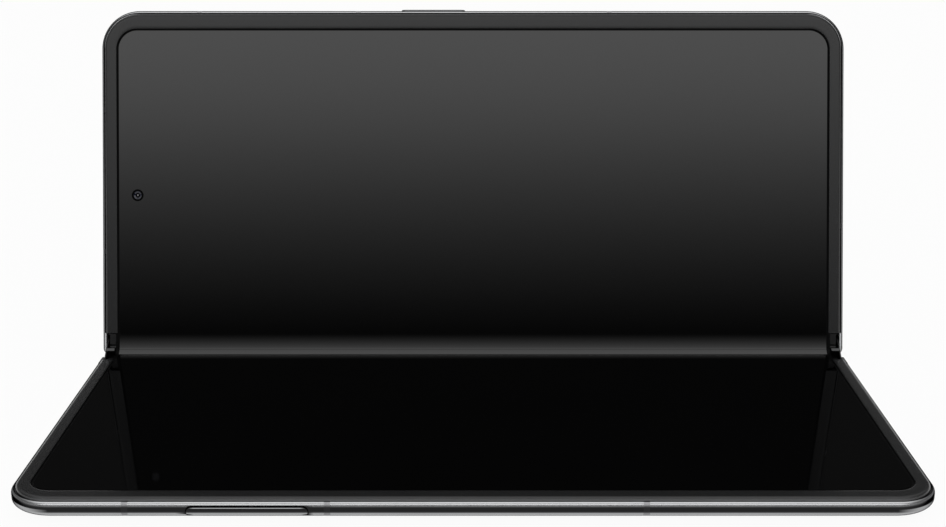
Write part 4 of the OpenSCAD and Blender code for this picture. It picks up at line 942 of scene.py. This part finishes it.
def make_spine():
    """The cover, its dark end caps, and the feet and the thin webs of the hinge's end blocks."""
    cover = spine_arc(SPINE_RADIUS, SPINE_EDGE_Z) + spine_arc(SPINE_INNER, SPINE_EDGE_Z)[::-1]
    mesh_piece("spine_shell", extruded(Build(), cover, -SPINE_END, SPINE_END, 40), "spine", "spine_metal",
               ["spine_cover"])
    caps, feet, webs = Build(), Build(), Build()
    corner = [(WEB_HALF - WEB_ROUND * (1 - math.cos(a)), WEB_TOP - WEB_ROUND * (1 - math.sin(a)))
              for a in quarter(6)]
    web = [(WEB_HALF, WEB_BOTTOM)] + corner
    for side in (-1, 1):
        stack(caps, [[(side * (SPINE_END + x), y, z)
                      for y, z in spine_arc(SPINE_RADIUS - shrink, CAP_EDGE_Z - shrink)]
                     for x, shrink in CAP_STEPS])
        for half_y, low, high, from_x, to_x in BLOCKS:
            block = [(-half_y, low), (half_y, low), (half_y, high), (-half_y, high)]
            extruded(feet, block, side * from_x, side * to_x)
        extruded(webs, web + [(-y, z) for y, z in web[::-1]], side * BLOCK_X, side * WEB_END)
    mesh_piece("spine_caps", caps, "spine", "cap_metal", ["spine_end_caps"])
    mesh_piece("spine_end_feet", feet, "spine", "hinge_steel", ["spine_end_blocks"], material="dark_steel")
    mesh_piece("spine_end_webs", webs, "spine", "hinge_steel", material="web_steel")


for half in ("base", "lid"):
    make_guards(half)
    make_cheeks(half)
make_spine()


# ---- Cameras. Profiles are (radius, u) points, u from the island's face or from the screen ----
ISLAND_X, ISLAND_S = -57.0, 52.5
ISLAND_HALF, ISLAND_RADIUS, ISLAND_HEIGHT, ISLAND_ROUND = 13, 6.5, 1.9, 0.45
ISLAND_FACE = -THICKNESS - ISLAND_HEIGHT
LENS_OFFSET = 5.7
LENSES = [(ISLAND_X + i * LENS_OFFSET, ISLAND_S + j * LENS_OFFSET) for i, j in ((-1, 1), (1, 1), (-1, -1))]
FLASH = (ISLAND_X + LENS_OFFSET, ISLAND_S - LENS_OFFSET)
LENS_BORE, FLASH_BORE, BORE_DEPTH = 3.9, 1.9, 1.2
RING_PROFILE = ((3.9, 0.3), (3.9, -0.12), (4.02, -0.3), (4.12, -0.35), (4.5, -0.35), (4.62, -0.31),
                (4.7, -0.2), (4.7, 0))
LENS_PROFILE = ((3.88, 0.15), (3.88, -0.2), (3.7, -0.25), (2.4, -0.25), (2.3, -0.24))
FLASH_PROFILE = ((1.88, 1.1), (1.88, 0.05), (1.8, 0), (1.35, 0), (1.3, 0.06), (0.9, 0.06), (0.85, 0),
                 (0.45, 0), (0.4, 0.06), (0.1, 0.06))
EYE_RING = ((1.24, -0.3), (1.24, -0.04), (1.2, -0.02), (0.86, -0.02), (0.84, -0.04), (0.84, -0.3))
EYE_GLASS = ((0.84, -0.3), (0.84, -0.05), (0.8, -0.05), (0.5, -0.22))
EYE_WELL = ((0.5, -0.28), (0.5, -0.218), (0.16, -0.218))
DOME_RADIUS, DOME_BASE, DOME_HEIGHT = 0.17, -0.22, 0.03
EYE_DOME = ([(DOME_RADIUS, -0.26), (DOME_RADIUS, DOME_BASE)]
            + [(DOME_RADIUS * math.cos(a), DOME_BASE + DOME_HEIGHT * math.sin(a)) for a in quarter(8)[1:8]]
            + [(0.01, DOME_BASE + DOME_HEIGHT)])


def from_face(profile):
    return [(r, ISLAND_FACE + u) for r, u in profile]


def make_island():
    """The camera island on the back, with three lenses in rings and a flash."""
    side = [(0, -THICKNESS)]
    side += [(ISLAND_ROUND * (1 - math.cos(a)), ISLAND_FACE + ISLAND_ROUND * (1 - math.sin(a)))
             for a in quarter(6)]
    loops = [[(ISLAND_X + p, ISLAND_S + q, u)
              for p, q in rounded_square(ISLAND_HALF - inset, ISLAND_RADIUS - inset)] for inset, u in side]
    piece = mesh_piece("camera_island_block", stack(Build(), loops), "lid", "island_metal", ["camera_island"])
    bores = [(place, LENS_BORE) for place in LENSES] + [(FLASH, FLASH_BORE)]
    cut(piece, "lid", [turned_piece(*place, from_face([(r, -1), (r, BORE_DEPTH)])) for place, r in bores])
    rings, glasses = Build(), Build()
    for place in LENSES:
        rings.grid(turned_loops(*place, from_face(RING_PROFILE), 72), closed_rows=True, closed_columns=True)
        stack(glasses, turned_loops(*place, from_face(LENS_PROFILE), 72))
    mesh_piece("lens_rings", rings, "lid", "ring_metal", ["camera_lens_rings"])
    mesh_piece("lens_glasses", glasses, "lid", "lens_glass", ["camera_glasses"])
    mesh_piece("flash_cover", turned_piece(*FLASH, from_face(FLASH_PROFILE)), "lid", "flash_plastic",
               ["flash_lens"])


def make_inner_camera():
    """The small camera in the screen: a dark ring, its glass, and a coated dome in a well."""
    ring = Build()
    ring.grid(turned_loops(*INNER_CAMERA, EYE_RING), closed_rows=True, closed_columns=True)
    mesh_piece("inner_camera_ring", ring, "lid", "camera_body", material="hole_black")
    mesh_piece("inner_camera_glass", turned_piece(*INNER_CAMERA, EYE_GLASS), "lid", "lens_glass",
               ["inner_camera_lens"])
    mesh_piece("inner_camera_well", turned_piece(*INNER_CAMERA, EYE_WELL), "lid", "camera_body",
               material="hole_black")
    mesh_piece("inner_camera_dome", turned_piece(*INNER_CAMERA, EYE_DOME), "lid", "lens_glass",
               material="coated_lens")


make_island()
make_inner_camera()

# ---- Floor, light and camera ----
FLOOR_REACH, FLOOR_CURVE = 5000, 500
FLOOR_TURNS, FLOOR_STEPS = 96, 8
FRONT_RISE, FURTHER_RISE = 140, 1000
FRONT_ANGLE, RISE_ANGLE = 30, 20
FLOOR_GREY, FLOOR_GLOW = 0.9, 0.94

# Brightness of the room by the angle about the hinge's line: 0 in front, 90 overhead and 180 behind
ROOM = ((-180, 0.6), (-30, 0.6), (0, 0.02), (11.5, 0.02), (12.2, 0.06), (13, 0.13), (14.3, 0.26),
        (16.1, 0.52), (17.9, 0.92), (19.7, 1.4), (21.5, 1.8), (23, 2.0), (40, 1.9), (45, 1.3), (48.5, 0.2),
        (59, 0.2), (64, 1.3), (68, 1.6), (102, 1.6), (110, 1.0), (140, 0.7), (146, 0.4), (150, 0.04),
        (167, 0.02), (172, 0.2), (180, 0.5))
ROOM_PEAK = 2.2
SIDE_LIGHT, SIDE_FROM, SIDE_TO = 0.35, 0.45, 0.8

# The camera's place in metres, and its tilt in degrees
CAMERA_LENS = 56.98
CAMERA_PLACE = (0, -0.26346, 0.11132)
CAMERA_TILT = 16.149


def calculated(tree, operation, first, second=0.0):
    """The result of an operation on one or two values, each a number or a node's output."""
    made = tree.nodes.new("ShaderNodeMath")
    made.operation = operation
    feed(tree, made.inputs[0], first)
    feed(tree, made.inputs[1], second)
    return made.outputs[0]


def make_floor():
    """A white floor that curves up at its edge, low in front of the phone and high all round the rest.

    It shows as near white itself, also in metal and glass, and keeps the phone's shadow."""
    build, rows = Build(), []
    for bend in quarter(FLOOR_STEPS):
        row = []
        for i in range(FLOOR_TURNS):
            a = 2 * math.pi * i / FLOOR_TURNS
            from_front = math.degrees(abs(math.atan2(math.cos(a), -math.sin(a))))
            share = min(1.0, max(0.0, (from_front - FRONT_ANGLE) / RISE_ANGLE))
            rise = FRONT_RISE + FURTHER_RISE * share ** 2
            r = FLOOR_REACH + FLOOR_CURVE * math.sin(bend)
            row.append((r * math.cos(a), r * math.sin(a), rise * (1 - math.cos(bend))))
        rows.append(row)
    build.grid(rows, closed_columns=True)
    build.cap(range(FLOOR_TURNS - 1, -1, -1))
    floor = linked_object("studio_floor", build, lambda *p: p)
    material = bpy.data.materials.new("studio_floor")
    material.use_nodes = True
    tree = material.node_tree
    tree.nodes.clear()
    plain = tree.nodes.new("ShaderNodeBsdfDiffuse")
    plain.inputs["Color"].default_value = (FLOOR_GREY, FLOOR_GREY, FLOOR_GREY, 1)
    glow = tree.nodes.new("ShaderNodeEmission")
    glow.inputs["Strength"].default_value = 1.0
    path = tree.nodes.new("ShaderNodeLightPath")
    seen = path.outputs["Is Camera Ray"]
    for ray in ("Is Glossy Ray", "Is Transmission Ray"):
        seen = calculated(tree, "MAXIMUM", seen, path.outputs[ray])
    mix = tree.nodes.new("ShaderNodeMixShader")
    tree.links.new(calculated(tree, "MULTIPLY", seen, FLOOR_GLOW), mix.inputs[0])
    tree.links.new(plain.outputs[0], mix.inputs[1])
    tree.links.new(glow.outputs[0], mix.inputs[2])
    out = tree.nodes.new("ShaderNodeOutputMaterial")
    tree.links.new(mix.outputs[0], out.inputs[0])
    floor.data.materials.append(material)


def make_room():
    """A soft room of grey light: bands along the hinge's line by ROOM, and an even level to the sides."""
    world = bpy.data.worlds.new("studio")
    bpy.context.scene.world = world
    world.use_nodes = True
    tree = world.node_tree
    tree.nodes.clear()
    place = tree.nodes.new("ShaderNodeTexCoord")
    split = tree.nodes.new("ShaderNodeSeparateXYZ")
    tree.links.new(place.outputs["Generated"], split.inputs[0])
    ahead = calculated(tree, "MULTIPLY", split.outputs["Y"], -1.0)
    angle = calculated(tree, "ARCTAN2", split.outputs["Z"], ahead)
    curve = tree.nodes.new("ShaderNodeFloatCurve")
    line = curve.mapping.curves[0]
    points = [((a + 180) / 360, v / ROOM_PEAK) for a, v in ROOM]
    line.points[0].location = points[0]
    line.points[1].location = points[-1]
    for q in points[1:-1]:
        line.points.new(*q)
    for q in line.points:
        q.handle_type = "VECTOR"
    curve.mapping.update()
    tree.links.new(ranged(tree, angle, 0, 1, -math.pi, math.pi), curve.inputs["Value"])
    sideways = calculated(tree, "ABSOLUTE", split.outputs["X"])
    mix = tree.nodes.new("ShaderNodeMix")
    mix.inputs["B"].default_value = SIDE_LIGHT / ROOM_PEAK
    tree.links.new(ranged(tree, sideways, 0, 1, SIDE_FROM, SIDE_TO, "SMOOTHSTEP"), mix.inputs["Factor"])
    tree.links.new(curve.outputs[0], mix.inputs["A"])
    back = tree.nodes.new("ShaderNodeBackground")
    tree.links.new(calculated(tree, "MULTIPLY", mix.outputs["Result"], ROOM_PEAK), back.inputs["Strength"])
    out = tree.nodes.new("ShaderNodeOutputWorld")
    tree.links.new(back.outputs[0], out.inputs[0])


def make_camera():
    data = bpy.data.cameras.new("camera")
    data.sensor_width = 36.0
    data.lens = CAMERA_LENS
    data.clip_start = 0.01
    data.clip_end = 50
    camera = bpy.data.objects.new("camera", data)
    bpy.context.scene.collection.objects.link(camera)
    camera.location = CAMERA_PLACE
    camera.rotation_euler = (math.radians(90 - CAMERA_TILT), 0, 0)
    bpy.context.scene.camera = camera


make_floor()
make_room()
make_camera()
bpy.context.scene.view_settings.view_transform = "Standard"
